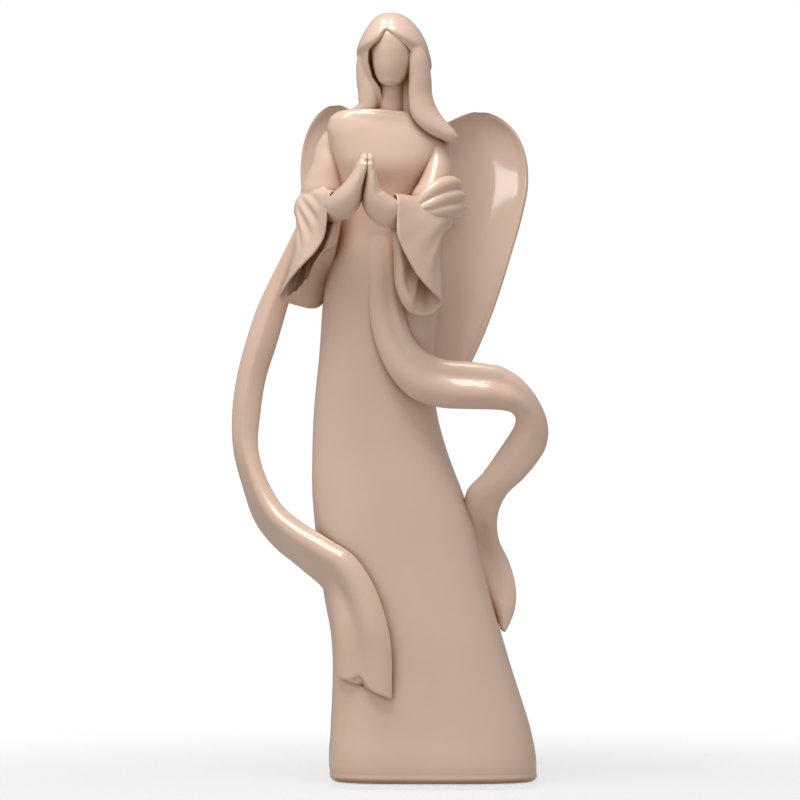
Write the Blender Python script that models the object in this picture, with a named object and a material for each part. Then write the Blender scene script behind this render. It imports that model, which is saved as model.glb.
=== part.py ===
"""Resin angel figurine, built from the castings and steel dowels that are glued together to make it.

Lengths are in millimetres until a mesh is made, and the blend unit is the metre. +Z is up, the figure
faces -Y, its left side is at +X, and the origin is on the table under the middle of the gown's hem.
"""

import math

import bmesh
import bpy
import numpy as np

MM = 0.001
GLUE_GAP = 0.3  # clear distance between two castings that are glued face to face

# --- driving sizes -------------------------------------------------------------------------------
FELT_THICKNESS = 1.3
HEM_BOTTOM = 0.3  # the figure stands on its felt, with the hem just clear of the table
PLATE_BOTTOM = FELT_THICKNESS + GLUE_GAP
TORSO_X = -19.0  # the upper body stands over this line, and the hem sweeps away from it
PLATE_THICKNESS = 3.0
WALL = 4.5  # the gown is slip-hollow, with walls of this thickness
LEDGE = 2.0  # step inside the hem that the base plate is pushed against
CAVITY_TOP = 222.0
DOWEL_RADIUS = 0.8
DOWEL_HOLE_RADIUS = DOWEL_RADIUS + GLUE_GAP
PALM_MEETING = (-20.1, -32.4)  # x and y of a point between the two praying palms
PALM_LEAN = 0.12  # how far the palms lean to the figure's left for each millimetre they rise from the wrists
FINGER_ROOT_Z = 224.0
PALM_TURN = math.radians(25)  # the praying hands are turned this far to the figure's left
WING_SWEEP = math.radians(31.5)  # each wing leans back from the side-to-side line by this angle
WING_ROOT_Y = 8.5
GOWN_TURN = math.radians(15)  # the broad front of the gown is turned this far to the figure's left

# Gown sections: height, centre x, half width, depth in front, depth behind, squareness, slope to the side.
GOWN = (
    (HEM_BOTTOM, -0.3, 38.6, 23.6, 23.6, 3.2, 0.0),
    (HEM_BOTTOM + 0.7, -0.3, 39.6, 24.6, 24.6, 3.2, 0.0),
    (4.0, -0.5, 40.1, 25.0, 25.0, 3.2, 0.0),
    (20.0, -1.5, 38.9, 23.8, 24.0, 3.2, 0.0),
    (32.0, -3.1, 36.8, 22.8, 23.2, 3.15, 0.0),
    (45.0, -5.1, 34.6, 21.8, 22.2, 3.1, 0.0),
    (57.0, -7.3, 33.2, 20.8, 21.2, 3.05, 0.0),
    (70.0, -10.5, 32.5, 19.8, 20.2, 3.0, 0.0),
    (85.0, -13.6, 31.8, 18.7, 18.9, 2.95, 0.0),
    (101.0, -16.4, 30.9, 17.6, 17.6, 2.9, 0.0),
    (113.0, -19.1, 29.2, 16.8, 16.8, 2.85, 0.0),
    (124.0, -21.3, 27.1, 16.0, 16.0, 2.8, 0.0),
    (144.0, -23.8, 24.0, 14.8, 15.0, 2.7, 0.0),
    (165.0, -23.2, 22.6, 13.8, 14.4, 2.7, 0.0),
    (195.0, -21.2, 22.0, 13.0, 14.2, 2.6, -0.01),
    (213.0, -20.8, 18.8, 12.2, 14.0, 2.5, -0.02),
    (226.0, -21.0, 16.8, 12.0, 13.6, 2.5, -0.04),
    (232.5, -20.6, 17.8, 12.7, 13.4, 2.5, -0.05),
    (236.6, -20.1, 19.0, 14.1, 13.2, 2.5, -0.06),
    (239.6, -19.7, 20.2, 14.2, 13.0, 2.6, -0.07),
    (246.0, -18.8, 22.6, 12.6, 12.4, 2.8, -0.08),
    (252.5, -18.8, 23.6, 10.6, 11.0, 2.9, -0.11),
    (256.5, -19.2, 21.4, 9.2, 9.6, 2.9, -0.13),
    (259.4, -19.2, 16.8, 8.2, 7.6, 2.8, -0.12),
    (261.0, -18.6, 10.8, 7.0, 5.4, 2.6, -0.08),
    (261.6, -17.8, 5.4, 5.0, 3.2, 2.3, -0.06),
)

# Head sections: height, centre x, centre y, half width, half depth.
SKULL = (
    (270.4, -15.6, -8.2, 1.6, 1.8),
    (271.2, -15.6, -7.6, 3.4, 3.6),
    (273.2, -15.7, -6.0, 5.4, 5.9),
    (276.5, -15.7, -3.9, 7.3, 8.7),
    (281.0, -15.7, -2.0, 8.8, 11.0),
    (286.0, -15.7, -0.9, 9.5, 12.0),
    (291.0, -15.6, -0.4, 9.0, 11.2),
    (295.0, -15.4, -0.2, 6.6, 8.4),
    (297.2, -15.2, 0.0, 3.0, 4.0),
)
NECK = (
    (247.0, -17.4, 0.6, 4.6, 4.6),
    (254.0, -17.2, 0.4, 5.2, 5.0),
    (261.0, -17.0, -0.2, 6.0, 5.6),
    (267.0, -16.6, -1.0, 5.2, 5.2),
    (274.0, -16.2, -1.4, 5.0, 5.4),
    (279.0, -16.0, -1.4, 4.6, 5.4),
)

# Hair sections: centre, half width, depth in front, depth behind, slope to the side.
HAIR = (
    ((-17.4, -0.5, 299.6), 1.0, 1.4, 1.4, 0.0),
    ((-17.3, -0.5, 298.5), 4.9, 5.6, 5.8, 0.0),
    ((-17.1, -0.5, 297.2), 6.7, 7.6, 8.0, 0.0),
    ((-16.8, -0.4, 294.1), 9.1, 10.2, 11.0, 0.0),
    ((-16.7, -0.3, 291.0), 11.0, 12.4, 13.2, 0.0),
    ((-16.7, -0.2, 287.6), 12.6, 13.9, 14.6, 0.0),
    ((-16.7, 0.2, 283.4), 13.8, 14.4, 15.4, -0.02),
    ((-16.5, 0.8, 276.0), 14.8, 12.8, 15.6, -0.03),
    ((-16.2, 1.4, 268.0), 14.5, 9.6, 15.0, -0.04),
    ((-16.0, 1.8, 262.5), 15.6, 7.6, 14.6, -0.08),
    ((-15.4, 1.8, 258.0), 18.4, 6.4, 14.6, -0.12),
    ((-14.8, 1.6, 254.8), 21.6, 5.4, 14.6, -0.14),
    ((-15.2, 2.2, 251.6), 21.0, 4.4, 14.4, -0.12),
    ((-18.0, 4.6, 247.0), 16.0, 3.6, 12.6, -0.04),
    ((-18.4, 8.2, 238.0), 12.6, 3.0, 9.4, 0.0),
    ((-18.6, 9.6, 228.0), 9.0, 2.4, 8.0, 0.0),
    ((-18.6, 10.4, 222.0), 4.0, 1.6, 6.0, 0.0),
)
# The opening that the face looks out of, as x and z from the parting down the right side and back up.
HAIR_OPENING = (
    (-16.4, 292.0),
    (-17.4, 289.6),
    (-19.0, 287.4),
    (-21.4, 285.8),
    (-23.6, 284.0),
    (-23.9, 279.6),
    (-22.8, 274.0),
    (-20.0, 269.6),
    (-19.0, 263.0),
    (-19.6, 250.0),
    (-7.6, 250.0),
    (-7.4, 262.0),
    (-6.4, 268.4),
    (-5.4, 273.2),
    (-5.4, 278.6),
    (-6.8, 283.0),
    (-9.4, 286.2),
    (-12.6, 288.8),
)
HAIR_OPENING_BACK_Y = -3.0

# Wing sections: height, inner and outer edge measured out from the root, how far the middle is cupped back.
WING = (
    (263.0, 33.5, 37.0, 2.0),
    (261.6, 28.0, 42.5, 3.6),
    (258.0, 20.5, 48.0, 4.8),
    (252.0, 11.5, 52.4, 5.6),
    (244.0, 4.5, 55.0, 6.0),
    (234.0, 3.0, 55.4, 6.0),
    (222.0, 3.0, 53.0, 5.8),
    (206.0, 3.0, 48.2, 5.2),
    (190.0, 3.0, 43.0, 4.4),
    (176.0, 5.0, 37.6, 3.4),
    (164.0, 9.0, 32.0, 2.4),
    (154.0, 15.0, 26.0, 1.2),
    (149.0, 19.0, 22.0, 0.4),
)
WING_RIM_HALF = 1.0
WING_ROOT_HALF = 2.3
LEFT_WING_DROP = 0.6
RIGHT_WING_LIFT = 3.6
LEFT_WING_SHIFT = 0.6  # how far each wing stands out from the middle line
RIGHT_WING_SHIFT = -1.1

# Upper arm sections, shoulder to elbow: centre, half width in x, half width in y.
RIGHT_ARM = (
    ((-36.4, -0.2, 257.2), 1.8, 3.0),
    ((-38.2, -0.8, 254.8), 3.8, 4.8),
    ((-39.8, -1.6, 251.6), 5.2, 6.0),
    ((-41.4, -2.6, 246.4), 6.2, 6.8),
    ((-41.6, -4.2, 240.2), 7.0, 7.6),
    ((-42.6, -5.4, 234.2), 8.4, 8.0),
    ((-43.0, -6.2, 229.4), 9.2, 8.2),
    ((-43.6, -7.0, 224.0), 6.6, 6.0),
)
LEFT_ARM = (
    ((-2.0, 2.6, 253.4), 2.4, 3.6),
    ((-0.2, 2.6, 250.6), 4.2, 5.2),
    ((1.0, 2.2, 247.4), 4.9, 6.0),
    ((1.8, 1.2, 243.2), 4.8, 6.6),
    ((2.0, -1.2, 238.2), 5.4, 7.4),
    ((1.4, -3.6, 232.7), 6.4, 8.0),
    ((0.4, -5.6, 227.5), 7.8, 8.4),
    ((0.8, -7.2, 221.0), 5.8, 6.4),
)
# Elbow end of each bell sleeve: centre, half vector up, half vector to the outer front.
RIGHT_ELBOW = ((-45.0, -8.0, 222.6), (0.0, 0.0, 8.4), (-8.0, -4.8, 0.0))
LEFT_ELBOW = ((1.4, -8.6, 218.6), (0.0, 0.0, 7.4), (7.4, -3.2, 0.0))
# Rim of each bell's mouth: from the top down its front edge to the lowest tip, then up its inner edge.
RIGHT_RIM = (
    (-33.6, -25.4, 228.6),
    (-34.4, -29.0, 226.4),
    (-34.9, -31.0, 221.8),
    (-35.2, -31.6, 216.4),
    (-36.6, -31.0, 210.3),
    (-39.5, -30.5, 205.7),
    (-44.2, -29.5, 201.2),
    (-49.3, -27.0, 196.7),
    (-54.2, -23.0, 191.8),
    (-58.0, -17.0, 187.3),
    (-55.3, -11.0, 185.5),
    (-50.4, -8.5, 186.3),
    (-45.0, -7.5, 189.8),
    (-40.5, -9.0, 196.4),
    (-36.5, -13.0, 204.0),
    (-33.4, -18.0, 212.0),
    (-31.8, -20.6, 220.4),
    (-32.2, -22.4, 226.6),
)
LEFT_RIM = (
    (-9.4, -23.2, 227.2),
    (-7.5, -26.2, 225.4),
    (-6.7, -28.4, 221.2),
    (-6.3, -30.0, 215.8),
    (-5.9, -31.0, 211.4),
    (-4.2, -30.4, 206.4),
    (-1.9, -29.6, 201.5),
    (0.8, -28.0, 196.2),
    (3.7, -25.5, 192.0),
    (6.0, -22.0, 188.7),
    (7.5, -17.0, 185.0),
    (5.0, -15.0, 182.3),
    (0.9, -14.5, 180.8),
    (-4.3, -14.5, 182.0),
    (-8.2, -15.0, 185.9),
    (-10.8, -15.5, 192.8),
    (-11.2, -17.0, 201.3),
    (-11.0, -19.2, 209.5),
    (-12.6, -18.6, 218.0),
    (-12.0, -20.2, 225.0),
)
# How far the bell's inner side hangs below a straight line from elbow to rim, three quarters of the way.
RIGHT_DRAPE = (-2.0, 5.0, -11.0)
LEFT_DRAPE = (0.0, 1.5, -1.0)
DRAPE_TURN = 0.64  # where the drape lies round the rim, as a share of a turn
DRAPE_SPREAD = 0.12
RIM_FRONT_WALL = 1.3
RIM_BACK_WALL = 5.0
POCKET_DEPTH = 0.45  # share of the bell's length that its mouth is hollow for

# Hand sections, forearm to fingertips: centre, half thickness, half width from wrist edge to finger edge.
RIGHT_HAND = (
    ((-43.0, -13.6, 220.6), 2.2, 2.2),
    ((-38.8, -19.4, 220.8), 3.6, 3.0),
    ((-34.4, -24.8, 221.2), 5.0, 4.1),
    ((-30.0, -28.2, 222.2), 5.6, 6.0),
    ((-26.4, -31.2, 224.6), 5.5, 6.4),
    ((-22.8, -32.9, 230.4), 3.5, 5.6),
    ((-20.8, -33.2, 235.6), 2.2, 4.3),
    ((-19.9, -33.2, 239.2), 1.4, 2.8),
    ((-19.5, -33.2, 240.6), 0.7, 1.2),
)
LEFT_HAND = (
    ((-1.4, -12.8, 217.6), 2.2, 2.4),
    ((-5.0, -18.2, 218.0), 3.8, 3.3),
    ((-8.8, -22.8, 218.8), 5.4, 4.6),
    ((-12.2, -26.0, 220.0), 6.1, 6.2),
    ((-15.0, -28.0, 222.6), 5.8, 6.4),
    ((-17.0, -29.4, 226.4), 4.5, 6.3),
    ((-17.2, -30.9, 231.2), 2.9, 5.2),
    ((-17.2, -31.6, 236.0), 1.9, 4.0),
    ((-17.1, -31.8, 239.4), 1.0, 1.8),
)

# Sash sections: the lower or outer edge, the upper or inner edge, thickness, height of the fold that runs
# along the middle, share of the two-fold profile.
RIGHT_SASH = (
    ((-53.6, 0.5, 221.8), (-48.6, 1.0, 217.5), 3.4, 0.2, 0.0),
    ((-61.6, 1.0, 206.4), (-54.8, 1.6, 202.5), 3.4, 0.8, 0.0),
    ((-67.1, 0.8, 195.8), (-57.9, 1.8, 192.2), 3.2, 1.4, 0.0),
    ((-72.2, 0.0, 184.7), (-60.6, 1.0, 182.7), 3.0, 1.8, 0.0),
    ((-76.1, -2.0, 171.7), (-63.7, -1.0, 170.4), 3.0, 2.0, 0.0),
    ((-79.2, -4.0, 157.9), (-67.6, -3.0, 156.7), 3.0, 2.0, 0.0),
    ((-80.5, -6.5, 142.1), (-69.1, -6.0, 141.7), 3.0, 2.0, 0.0),
    ((-79.5, -8.5, 129.1), (-69.2, -8.5, 130.4), 3.0, 1.9, 0.0),
    ((-76.4, -11.0, 114.6), (-64.8, -12.0, 117.9), 3.0, 1.8, 0.2),
    ((-72.4, -13.5, 101.0), (-57.1, -16.0, 107.1), 3.0, 1.6, 0.5),
    ((-64.2, -16.0, 90.2), (-48.3, -19.5, 100.7), 3.2, 1.6, 0.8),
    ((-51.6, -18.0, 80.8), (-35.4, -22.5, 93.5), 3.2, 1.7, 1.0),
    ((-40.4, -20.0, 73.2), (-24.4, -24.2, 86.4), 3.2, 1.8, 1.0),
    ((-35.4, -22.0, 62.9), (-16.4, -25.2, 74.2), 3.2, 1.9, 1.0),
    ((-33.8, -23.0, 53.3), (-11.6, -26.4, 60.9), 3.0, 1.5, 1.0),
    ((-32.8, -24.0, 39.5), (-9.6, -27.4, 36.9), 2.6, 0.6, 1.0),
)
LEFT_SASH = (
    ((-22.6, -9.1, 223.0), (-14.6, -6.9, 223.4), 2.0, 0.4, 0.6),
    ((-23.4, -12.6, 213.0), (-13.6, -10.6, 213.6), 3.4, 0.4, 0.6),
    ((-23.8, -13.6, 201.5), (-12.1, -10.6, 202.2), 3.8, 0.6, 0.8),
    ((-23.1, -14.4, 188.7), (-10.9, -11.0, 190.5), 4.2, 0.9, 1.0),
    ((-21.7, -15.0, 177.0), (-8.7, -11.2, 179.7), 4.6, 1.1, 1.0),
    ((-18.5, -15.2, 166.6), (-5.7, -10.2, 171.9), 4.8, 1.3, 1.0),
    ((-12.9, -15.6, 156.1), (-0.5, -9.4, 166.5), 5.0, 1.5, 1.0),
    ((-5.2, -14.6, 148.4), (6.6, -8.0, 163.4), 4.8, 1.6, 1.0),
    ((4.2, -12.4, 144.9), (15.0, -6.2, 162.7), 4.4, 1.7, 1.0),
    ((15.4, -9.8, 144.1), (22.7, -4.6, 161.7), 4.2, 1.7, 1.0),
    ((25.0, -7.4, 143.9), (30.2, -3.0, 159.5), 4.0, 1.5, 1.0),
    ((29.6, -5.8, 143.5), (36.2, -2.2, 155.2), 3.9, 1.5, 1.0),
    ((32.0, -3.8, 142.6), (41.0, -1.0, 149.2), 3.8, 1.0, 0.6),
    ((33.0, -2.0, 140.8), (44.2, 0.4, 142.4), 3.6, 0.8, 0.3),
    ((32.3, -0.8, 138.0), (45.3, 1.2, 136.6), 3.4, 0.8, 0.3),
    ((29.9, 0.0, 134.2), (44.6, 1.8, 130.8), 3.4, 0.8, 0.0),
    ((25.5, 0.4, 128.0), (41.9, 1.6, 125.2), 3.4, 0.8, 0.0),
    ((19.4, 0.4, 119.6), (35.8, 1.0, 117.6), 3.4, 0.6, 0.0),
    ((12.6, 1.2, 112.3), (28.6, 1.4, 110.9), 3.4, 0.6, 0.0),
    ((11.4, 2.4, 103.0), (24.4, 4.6, 103.1), 3.4, 0.4, 0.0),
    ((13.8, 3.8, 93.3), (23.4, 11.6, 93.4), 3.4, 0.2, 0.0),
    ((16.4, 6.6, 84.7), (27.2, 13.6, 84.9), 3.2, 0.4, 0.0),
    ((18.6, 8.6, 75.0), (30.2, 12.4, 74.8), 3.0, 0.6, 0.0),
    ((22.1, 7.2, 65.8), (29.9, 9.0, 65.5), 2.6, 0.4, 0.0),
    ((25.6, 5.0, 58.1), (27.2, 5.0, 57.3), 1.4, 0.0, 0.0),
)
SASH_TAIL_NOTCH = 3.6  # depth of the swallow tail cut into the right sash's end

# The three rolls of sash bunched over the left elbow: centre, outward direction, half height, half thickness.
ELBOW_UPPER_ROLL = (
    ((-2.6, -18.6, 222.6), (0.5, -0.7, 0.6), 1.0, 1.0),
    ((0.9, -16.6, 226.4), (0.6, -0.6, 0.5), 2.4, 2.4),
    ((5.3, -12.3, 230.2), (0.75, -0.45, 0.5), 3.1, 3.2),
    ((8.2, -6.8, 231.6), (0.85, -0.15, 0.5), 3.2, 3.4),
    ((8.6, -1.0, 230.8), (0.85, 0.1, 0.4), 3.0, 3.2),
    ((6.7, 5.0, 229.6), (0.8, 0.6, 0.1), 2.6, 2.6),
    ((2.4, 9.0, 228.3), (0.3, 0.95, 0.0), 1.4, 1.4),
)
ELBOW_MIDDLE_ROLL = (
    ((-1.6, -18.8, 221.0), (0.6, -0.8, 0.2), 1.0, 1.0),
    ((2.4, -16.2, 222.9), (0.7, -0.7, 0.2), 2.3, 2.4),
    ((6.6, -11.4, 225.6), (0.85, -0.5, 0.1), 2.9, 3.2),
    ((9.4, -5.8, 226.8), (1.0, -0.1, 0.1), 3.0, 3.4),
    ((9.6, 0.2, 226.8), (1.0, 0.1, 0.1), 2.8, 3.2),
    ((6.9, 6.0, 226.4), (0.7, 0.7, 0.0), 2.2, 2.4),
    ((3.4, 9.0, 226.2), (0.3, 0.95, 0.0), 1.2, 1.2),
)
ELBOW_LOWER_ROLL = (
    ((0.6, -17.8, 219.4), (0.7, -0.7, 0.0), 1.0, 1.0),
    ((4.4, -14.4, 220.2), (0.8, -0.6, -0.1), 2.3, 2.4),
    ((7.8, -9.6, 221.4), (0.9, -0.4, -0.1), 3.0, 3.2),
    ((9.8, -4.0, 222.2), (1.0, 0.0, -0.1), 3.3, 3.4),
    ((9.3, 2.0, 222.8), (0.9, 0.3, 0.0), 3.1, 3.0),
    ((5.2, 7.0, 223.4), (0.6, 0.8, 0.0), 1.8, 1.8),
)

# Dowels: name, middle, direction, length, and the two castings that it joins.
DOWELS = (
    ("neck_dowel", (-17.2, 0.4, 250.5), (0.0, 0.0, 1.0), 12.0, ("gown", "head")),
    ("right_sleeve_dowel", (-38.6, -4.6, 240.0), (1.0, 0.0, 0.0), 9.0, ("gown", "right_sleeve")),
    ("left_sleeve_dowel", (-0.8, 1.8, 239.0), (1.0, 0.0, 0.0), 8.0, ("gown", "left_sleeve")),
    ("right_sash_upper_dowel", (-51.0, -0.9, 219.6), (-0.3, 0.95, 0.0), 4.6, ("right_sleeve", "right_sash")),
    ("right_sash_lower_dowel", (-30.0, -22.0, 69.0), (0.0, 1.0, 0.0), 5.4, ("gown", "right_sash")),
    ("left_sash_upper_dowel", (-14.4, -12.2, 173.0), (0.0, 1.0, 0.0), 4.6, ("gown", "left_sash")),
    ("left_sash_lower_dowel", (12.8, 3.4, 104.0), (1.0, 0.0, 0.0), 6.6, ("gown", "left_sash")),
    ("right_wing_upper_dowel", (-25.6, 13.5, 216.0), (0.0, 1.0, 0.0), 4.6, ("gown", "right_wing")),
    ("right_wing_lower_dowel", (-25.6, 13.9, 194.0), (0.0, 1.0, 0.0), 4.6, ("gown", "right_wing")),
    ("left_wing_upper_dowel", (-10.9, 14.2, 214.0), (0.0, 1.0, 0.0), 4.6, ("gown", "left_wing")),
    ("left_wing_lower_dowel", (-10.2, 15.4, 192.0), (0.0, 1.0, 0.0), 4.6, ("gown", "left_wing")),
)

# Each casting is trimmed to fit against the ones listed after it.
GLUED_AGAINST = {
    "gown": ("head",),
    "right_sleeve": ("gown", "right_hand"),
    "left_sleeve": ("gown", "left_hand"),
    "hair": ("head", "gown", "right_sleeve", "left_sleeve"),
    "right_wing": ("gown", "hair", "right_sleeve"),
    "left_wing": ("gown", "hair", "left_sleeve"),
    "left_elbow_fold": ("gown", "left_sleeve", "left_hand", "left_wing"),
    "right_sash": ("gown", "right_sleeve", "right_wing"),
    "left_sash": ("gown", "left_sleeve", "left_wing", "right_hand", "left_hand"),
}

# --- how finely the shapes are divided -----------------------------------------------------------
GOWN_SIDES = 32
ROUND_SIDES = 16
BELL_SIDES = 24
HAND_SIDES = 12
ROLL_SIDES = 10
HAIR_SIDES = 32
WING_SIDES = 18
WING_LEVELS = 18
SASH_SIDES = 16
DOWEL_SIDES = 10


def material(name, colour, roughness, metallic=0.0):
    """A Principled material. The colour is linear red, green and blue."""
    made = bpy.data.materials.new(name)
    made.use_nodes = True
    shader = made.node_tree.nodes["Principled BSDF"]
    shader.inputs["Base Color"].default_value = (*colour, 1.0)
    shader.inputs["Roughness"].default_value = roughness
    shader.inputs["Metallic"].default_value = metallic
    return made


def through(keys, rows, places):
    """Rows of numbers read at places on the smooth curve that passes through each row at its key."""
    keys, rows, places = (np.asarray(x, float) for x in (keys, rows, places))
    slopes = np.gradient(rows, keys, axis=0)
    i = np.clip(np.searchsorted(keys, places, side="right") - 1, 0, len(keys) - 2)
    span = (keys[i + 1] - keys[i])[:, None]
    t = (places - keys[i])[:, None] / span
    return (
        (1 + 2 * t) * (1 - t) ** 2 * rows[i]
        + t * (1 - t) ** 2 * span * slopes[i]
        + t**2 * (3 - 2 * t) * rows[i + 1]
        + t**2 * (t - 1) * span * slopes[i + 1]
    )


def refined(stations, steps):
    """The stations with steps - 1 more between each pair, on a smooth curve by distance between centres."""
    rows = np.array([np.hstack([np.ravel(part) for part in station]) for station in stations], float)
    keys = np.concatenate([[0], np.cumsum(np.linalg.norm(np.diff(rows[:, :3], axis=0), axis=1))])
    places = np.interp(np.arange((len(rows) - 1) * steps + 1) / steps, np.arange(len(rows)), keys)
    return through(keys, rows, places)


def circle(sides):
    """Angles of evenly spaced points round a circle."""
    return np.arange(sides) * 2 * math.pi / sides


def squared(values, squareness):
    """Cosines or sines raised so that an ellipse becomes a rounded rectangle; a squareness of 2 changes nothing."""
    return np.sign(values) * np.abs(values) ** (2 / squareness)


def mesh_object(name, vertices, faces, finish):
    """An object from vertices in millimetres, with its faces turned outwards."""
    mesh = bpy.data.meshes.new(name)
    mesh.from_pydata([tuple(v * MM) for v in np.asarray(vertices, float)], [], faces)
    work = bmesh.new()
    work.from_mesh(mesh)
    bmesh.ops.recalc_face_normals(work, faces=work.faces)
    bmesh.ops.triangulate(work, faces=work.faces)
    work.to_mesh(mesh)
    work.free()
    if finish:
        mesh.materials.append(finish)
    made = bpy.data.objects.new(name, mesh)
    bpy.context.scene.collection.objects.link(made)
    return made


def loft(name, rings, finish):
    """A closed skin over rings of equally many points, with a fan of triangles at each end."""
    rings = [np.asarray(ring, float) for ring in rings]
    sides = len(rings[0])
    vertices = [*np.concatenate(rings), rings[0].mean(0), rings[-1].mean(0)]
    first, last = len(vertices) - 2, len(vertices) - 1
    faces = []
    for side in range(sides):
        beside = (side + 1) % sides
        for ring in range(len(rings) - 1):
            low, high = ring * sides, (ring + 1) * sides
            faces.append((low + side, low + beside, high + beside, high + side))
        end = (len(rings) - 1) * sides
        faces.append((first, beside, side))
        faces.append((last, end + side, end + beside))
    return mesh_object(name, vertices, faces, finish)


def grown(rings, distance):
    """A closed skin over rings whose faces all stand out by a distance."""
    made = loft("grown", rings, None)
    work = bmesh.new()
    work.from_mesh(made.data)
    work.normal_update()
    pushed = [vert.co + vert.normal * min(vert.calc_shell_factor(), 1.5) * distance * MM for vert in work.verts]
    for vert, place in zip(work.verts, pushed):
        vert.co = place
    work.to_mesh(made.data)
    work.free()
    return made


def keep_largest_body(mesh):
    """Removes the crumbs that a cut leaves beside the main body."""
    work = bmesh.new()
    work.from_mesh(mesh)
    unseen, bodies = set(work.verts), []
    while unseen:
        front, body = [unseen.pop()], []
        while front:
            vert = front.pop()
            body.append(vert)
            near = {edge.other_vert(vert) for edge in vert.link_edges} & unseen
            unseen -= near
            front.extend(near)
        bodies.append(body)
    bodies.sort(key=len)
    bmesh.ops.delete(work, geom=[vert for body in bodies[:-1] for vert in body], context="VERTS")
    work.to_mesh(mesh)
    work.free()


def boolean(piece, tool, operation):
    """Cuts a tool from a piece, or joins it on, and removes the tool."""
    modifier = piece.modifiers.new("Boolean", "BOOLEAN")
    modifier.operation = operation
    modifier.solver = "EXACT"
    modifier.object = tool
    bpy.context.view_layer.update()
    evaluated = piece.evaluated_get(bpy.context.evaluated_depsgraph_get())
    mesh = bpy.data.meshes.new_from_object(evaluated)
    mesh.name = piece.name
    piece.modifiers.clear()
    piece.data = mesh
    bpy.data.objects.remove(tool)
    if operation == "DIFFERENCE":
        keep_largest_body(mesh)


def clear_of(piece, *neighbours):
    """Trims a piece so that it stands a glue gap away from its neighbours, each a list of lofted shapes."""
    for shapes in neighbours:
        for rings in shapes:
            boolean(piece, grown(rings, GLUE_GAP), "DIFFERENCE")


def gown_ring(section, inset=0.0, sides=GOWN_SIDES):
    """One level of the gown, or of a surface that lies inset from it."""
    height, centre, half, front, back, squareness, slope = section
    angle = circle(sides)
    across = (half - inset) * squared(np.cos(angle), squareness)
    depth = np.where(np.sin(angle) < 0, front, back) - inset
    along = depth * squared(np.sin(angle), squareness)
    x = across * math.cos(GOWN_TURN) - along * math.sin(GOWN_TURN)
    y = across * math.sin(GOWN_TURN) + along * math.cos(GOWN_TURN)
    return np.stack([centre + x, y, height + slope * across], axis=1)


def gown_sections(heights):
    """Gown sections at the given heights."""
    table = np.array(GOWN, float)
    return np.column_stack([heights, through(table[:, 0], table[:, 1:], heights)])


def gown_outside():
    """Rings down the outside of the gown and bodice."""
    heights = [261.6, 261.0, 259.6, 257.4, 254.5, 250.5, 246.0, 242.0, 239.4, 236.4, 232.0, 225.0, 214.0, 202.0,
               188.0, 174.0, 160.0, 148.0, 136.0, 124.0, 112.0, 99.0, 85.0, 71.0, 57.0, 44.0, 31.0, 18.0, 4.0,
               HEM_BOTTOM + 0.7, HEM_BOTTOM]
    return [gown_ring(section) for section in gown_sections(np.array(heights))]


def make_gown(finish):
    """The hollow gown and bodice: down the outside, round the hem, and up the inside."""
    ledge = PLATE_BOTTOM + PLATE_THICKNESS + GLUE_GAP
    inside = gown_sections(np.array([ledge, 35.0, 70.0, 100.0, 130.0, 160.0, 195.0, CAVITY_TOP]))
    mouth = gown_sections(np.array([HEM_BOTTOM, ledge]))
    rings = gown_outside()
    rings += [gown_ring(section, WALL) for section in mouth]
    rings += [gown_ring(section, WALL + LEDGE) for section in inside]
    return loft("gown", rings, finish)


def slab(name, outline, low, high, finish):
    """A flat piece with an outline, between two heights."""
    faces = [np.column_stack([outline[:, :2], np.full(len(outline), height)]) for height in (low, high)]
    return loft(name, faces, finish)


def make_base_plate(finish):
    """The plate that closes the gown's cavity from below."""
    outline = gown_ring(gown_sections(np.array([HEM_BOTTOM]))[0], WALL + GLUE_GAP)
    return slab("base_plate", outline, PLATE_BOTTOM, PLATE_BOTTOM + PLATE_THICKNESS, finish)


def make_felt_pad(finish):
    """The felt glued under the plate, which the figure stands on."""
    outline = gown_ring(gown_sections(np.array([HEM_BOTTOM]))[0], WALL + GLUE_GAP)
    return slab("felt_pad", outline, 0.0, FELT_THICKNESS, finish)


def upright_rings(sections, sides, steps=1):
    """Level oval rings from sections of height, centre x, centre y, half width and half depth."""
    rows = refined([((s[1], s[2], s[0]), s[3], s[4]) for s in sections], steps)
    angle = circle(sides)
    return [
        np.stack([x + half * np.cos(angle), y + deep * np.sin(angle), np.full(sides, z)], axis=1)
        for x, y, z, half, deep in rows
    ]


def make_head(shapes, finish):
    """The blank face and skull, on a neck whose lower end is a peg for the gown's socket."""
    skull, neck = shapes
    head = loft("head", skull, finish)
    boolean(head, loft("neck", neck, finish), "UNION")
    return head


def hair_rings():
    """Level rings down the outside of the hair."""
    angle = circle(HAIR_SIDES)
    rings = []
    for (x, y, z), half, front, back, slope in HAIR:
        across = half * np.cos(angle)
        along = np.where(np.sin(angle) < 0, front, back) * np.sin(angle)
        rings.append(np.stack([x + across, y + along, z + slope * across], axis=1))
    return rings


def make_hair(rings, finish):
    """Hair over the head and shoulders, cut open in front of the face."""
    hair = loft("hair", rings, finish)
    outline = np.array(HAIR_OPENING)
    walls = [np.insert(outline, 1, y, axis=1) for y in (-40.0, HAIR_OPENING_BACK_Y)]
    boolean(hair, loft("opening", walls, finish), "DIFFERENCE")
    return hair


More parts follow.
